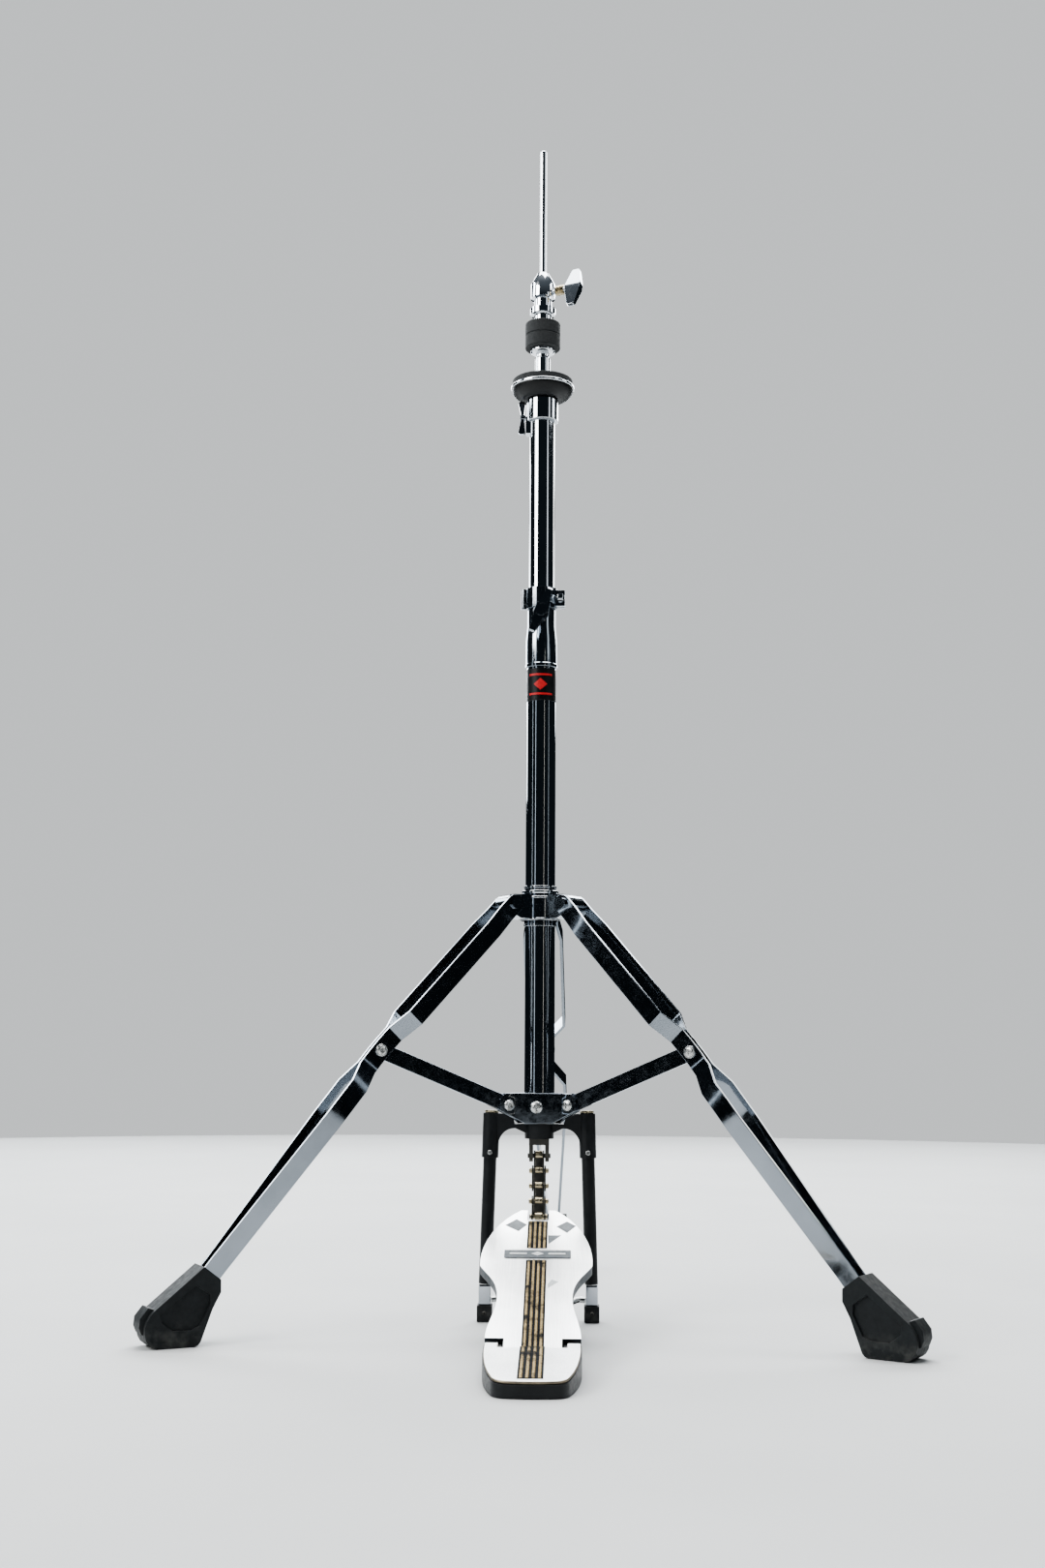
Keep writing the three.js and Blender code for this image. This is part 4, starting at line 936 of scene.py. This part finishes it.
def beaded_rib(mesh, x, start, end, base, height):
    """A raised rib of small beads along the board."""
    bead = 0.8
    rows = []
    for i in range(int((end - start) / bead) + 1):
        high = height if i % 2 else 0.45 * height
        wide = 1.15 if i % 2 else 0.8
        at = start + i * bead
        section = [(-wide, 0), (-0.5 * wide, high), (0.5 * wide, high), (wide, 0)]
        rows.append([mesh.verts.new((x + across, at, base + up)) for across, up in section])
    skin(mesh, rows)


def heel_strip():
    """The ribbed strip that carries on over the heel plate."""
    half, start, end = 8.6, -88.5, -13.8
    mesh = bmesh.new()
    prism(mesh, bar_outline(half, start, end), -0.3, 0.35, HEEL_PLACE)
    round_edges(mesh, 0.15)
    place("heel_strip_base", mesh, body_of("heel_plate"), ["inlay"])
    ribs = bmesh.new()
    for x in (-6.2, -2.07, 2.07, 6.2):
        beaded_rib(ribs, x, start + 0.6, end - 0.6, 0.3, 0.8)
    place("heel_strip_ribs", ribs, body_of("heel_plate"), ["ribs"], matrix=HEEL_PLACE)


def traction_strip(node, start, end):
    """A dark inlay with four beaded ribs."""
    half = 7.8
    mesh = bmesh.new()
    prism(mesh, bar_outline(half, start, end), BOARD_TOP - 0.75, BOARD_TOP - 0.1, BOARD_PLACE)
    round_edges(mesh, 0.2)
    place(node + "_look", mesh, body_of(node), ["inlay"], [node])
    ribs = bmesh.new()
    for x in (-5.7, -1.9, 1.9, 5.7):
        beaded_rib(ribs, x, start + 0.5, end - 0.5, BOARD_TOP - 0.15, 0.8)
    place(node + "_ribs", ribs, body_of(node), ["ribs"], matrix=BOARD_PLACE)


def on_board(name, outlines, low, high, look):
    """Thin printed or stuck-on shapes on the board."""
    mesh = bmesh.new()
    for outline in outlines:
        prism(mesh, outline, BOARD_TOP + low, BOARD_TOP + high, BOARD_PLACE)
    place(name, mesh, body_of("footboard"), [look])


def rounded_bar(low_x, high_x, low_y, high_y, radius, steps=5):
    """A rectangle's outline with round corners."""
    corners = (
        (high_x - radius, high_y - radius), (low_x + radius, high_y - radius),
        (low_x + radius, low_y + radius), (high_x - radius, low_y + radius),
    )
    outline = []
    for quarter, (x, y) in enumerate(corners):
        for step in range(steps + 1):
            angle = math.radians(90 * (quarter + step / steps))
            outline.append((x + radius * math.cos(angle), y + radius * math.sin(angle)))
    return outline


refined("footboard", ["aluminium", "casting"], 0.5, 3, board_paint)
heel_strip()
traction_strip("traction_strip_rear", 0.4, 141.8)
traction_strip("traction_strip_front", 163.2, 215.8)
on_board("board_lozenges", [
    [(-26.4, 207.3), (-15.3, 195.6), (-8.8, 208.7), (-17.5, 219.7)],
    [(15.0, 205.3), (23.6, 193.1), (31.0, 206.7), (23.6, 215.6)],
    [(8.5, 188.0), (9.1, 171.3), (19.0, 188.2)],
], -0.3, 0.08, "grey")
on_board("board_faint_lozenge", [
    [(9.3, 98.9), (9.4, 92.4), (17.2, 103.3), (12.1, 107.3)],
], -0.3, 0.06, "faint")
on_board("board_badge", [rounded_bar(-25.2, 26.7, 145, 159, 1.6)], -0.4, 0.6, "grey")
on_board("badge_mark", [
    [(-4.2, 152), (0.7, 148.4), (5.6, 152), (0.7, 155.6)],
    rounded_bar(-21, -7.5, 150.7, 153.3, 1),
    rounded_bar(9, 22.5, 150.7, 153.3, 1),
    rounded_bar(-24.2, 25.7, 157.3, 158.2, 0.3),
], 0.5, 0.75, "pale")


# ------------------------------------------------------------------ floor, light and camera


def backdrop():
    """A wide round pale floor."""
    mesh = bmesh.new()
    bmesh.ops.create_circle(mesh, cap_ends=True, radius=FLOOR_RADIUS, segments=128)
    data = bpy.data.meshes.new("floor")
    mesh.to_mesh(data)
    mesh.free()
    floor = bpy.data.objects.new("floor", data)
    floor.location = (0, 0, -0.0004)
    bpy.context.scene.collection.objects.link(floor)
    material, tree, shader = start_material("floor_matte", Roughness=0.85)
    where = object_space(tree)
    tone = ramp(tree, noise(tree, where, 3, 3), [(0.3, (0.52, 0.53, 0.53)), (0.7, (0.56, 0.57, 0.57))])
    tree.links.new(tone, shader.inputs["Base Color"])
    data.materials.append(material)


def softbox(name, at, aim, size, power, tint=(1, 1, 1)):
    """A rectangular soft light that the camera doesn't see."""
    light = bpy.data.lights.new(name, "AREA")
    light.shape = "RECTANGLE"
    light.size, light.size_y = size
    light.energy = power
    light.color = tint
    lamp = bpy.data.objects.new(name, light)
    lamp.location = at
    lamp.rotation_euler = (Vector(aim) - Vector(at)).to_track_quat("-Z", "Y").to_euler()
    lamp.visible_camera = False
    bpy.context.scene.collection.objects.link(lamp)


def studio_world():
    """A pale surround that the chrome sees as a darker studio."""
    world = bpy.data.worlds.new("studio")
    world.use_nodes = True
    tree = world.node_tree
    surround = tree.nodes["Background"]
    where = tree.nodes.new("ShaderNodeTexCoord")
    parts = tree.nodes.new("ShaderNodeSeparateXYZ")
    tree.links.new(where.outputs["Generated"], parts.inputs["Vector"])
    tone = ramp(tree, parts.outputs["Z"], [
        (0.0, (0.01, 0.014, 0.017)),
        (0.42, (0.016, 0.022, 0.027)),
        (0.7, (0.1, 0.115, 0.13)),
        (1.0, (0.4, 0.42, 0.44)),
    ])
    tree.links.new(tone, surround.inputs["Color"])
    pale = tree.nodes.new("ShaderNodeBackground")
    pale.inputs["Color"].default_value = (0.62, 0.64, 0.65, 1)
    seen = tree.nodes.new("ShaderNodeLightPath")
    either = tree.nodes.new("ShaderNodeMixShader")
    tree.links.new(seen.outputs["Is Camera Ray"], either.inputs["Fac"])
    tree.links.new(surround.outputs["Background"], either.inputs[1])
    tree.links.new(pale.outputs["Background"], either.inputs[2])
    tree.links.new(either.outputs["Shader"], tree.nodes["World Output"].inputs["Surface"])
    bpy.context.scene.world = world


def view_camera():
    """The camera low in front of the pedal, turned upright."""
    pitch, yaw, roll = math.radians(8.4), math.radians(-1.55), math.radians(0.35)
    level = math.cos(pitch)
    ahead = Vector((math.sin(yaw) * level, math.cos(yaw) * level, math.sin(pitch)))
    at = Vector((0.0245, -1.490, 0.227))
    camera_data = bpy.data.cameras.new("camera")
    camera_data.lens = 40.0
    camera_data.sensor_width = 36.0
    camera = bpy.data.objects.new("camera", camera_data)
    turn = ahead.to_track_quat("-Z", "Y").to_matrix() @ Matrix.Rotation(roll, 3, "Z")
    camera.matrix_world = Matrix.Translation(at) @ turn.to_4x4()
    bpy.context.scene.collection.objects.link(camera)
    bpy.context.scene.camera = camera


backdrop()
softbox("key", (-1.95, -1.42, 1.95), (0, 0, 0.62), (1.3, 1.4), 60, (1.0, 0.99, 0.97))
softbox("fill", (1.9, -1.4, 1.6), (0, 0, 0.5), (0.5, 1.0), 2.0, (0.93, 0.97, 1.0))
softbox("left_strip", (-1.5, -1.75, 0.62), (0, 0, 0.5), (0.12, 1.15), 0.8, (0.8, 0.9, 1.0))
softbox("left_line", (-2.1, -0.9, 0.62), (0, 0, 0.5), (0.06, 1.15), 0.5, (0.85, 0.93, 1.0))
softbox("right_line", (1.1, -2.1, 0.62), (0, 0, 0.5), (0.05, 1.15), 0.35, (1.0, 0.93, 0.82))
softbox("right_strip", (2.1, -1.0, 0.62), (0, 0, 0.5), (0.1, 1.15), 0.35, (0.85, 0.93, 1.0))
softbox("side", (-2.2, 0.35, 2.1), (0, 0, 0.6), (0.8, 0.9), 22, (0.92, 0.97, 1.0))
softbox("right_high", (2.1, 0.0, 2.0), (0, 0, 0.3), (0.8, 0.9), 9, (0.95, 0.98, 1.0))
softbox("top", (0.1, 0.2, 3.2), (0, 0, 0), (2.6, 2.2), 110)
softbox("rear", (0.1, 2.3, 2.2), (0, -0.1, 0.1), (3.0, 1.4), 115, (0.97, 0.99, 1.0))
softbox("rear_low", (-0.2, 2.5, 1.22), (0, 0, 0.3), (3.4, 0.42), 24, (0.92, 0.96, 1.0))
softbox("rear_left", (-1.95, 2.5, 1.34), (-0.15, -0.1, 0.2), (1.2, 0.95), 20, (0.92, 0.96, 1.0))
softbox("rear_right", (2.3, 2.5, 1.75), (0.19, -0.1, 0.13), (0.8, 0.6), 6, (1.0, 0.98, 0.93))
studio_world()
view_camera()
bpy.context.scene.view_settings.look = "AgX - Medium High Contrast"
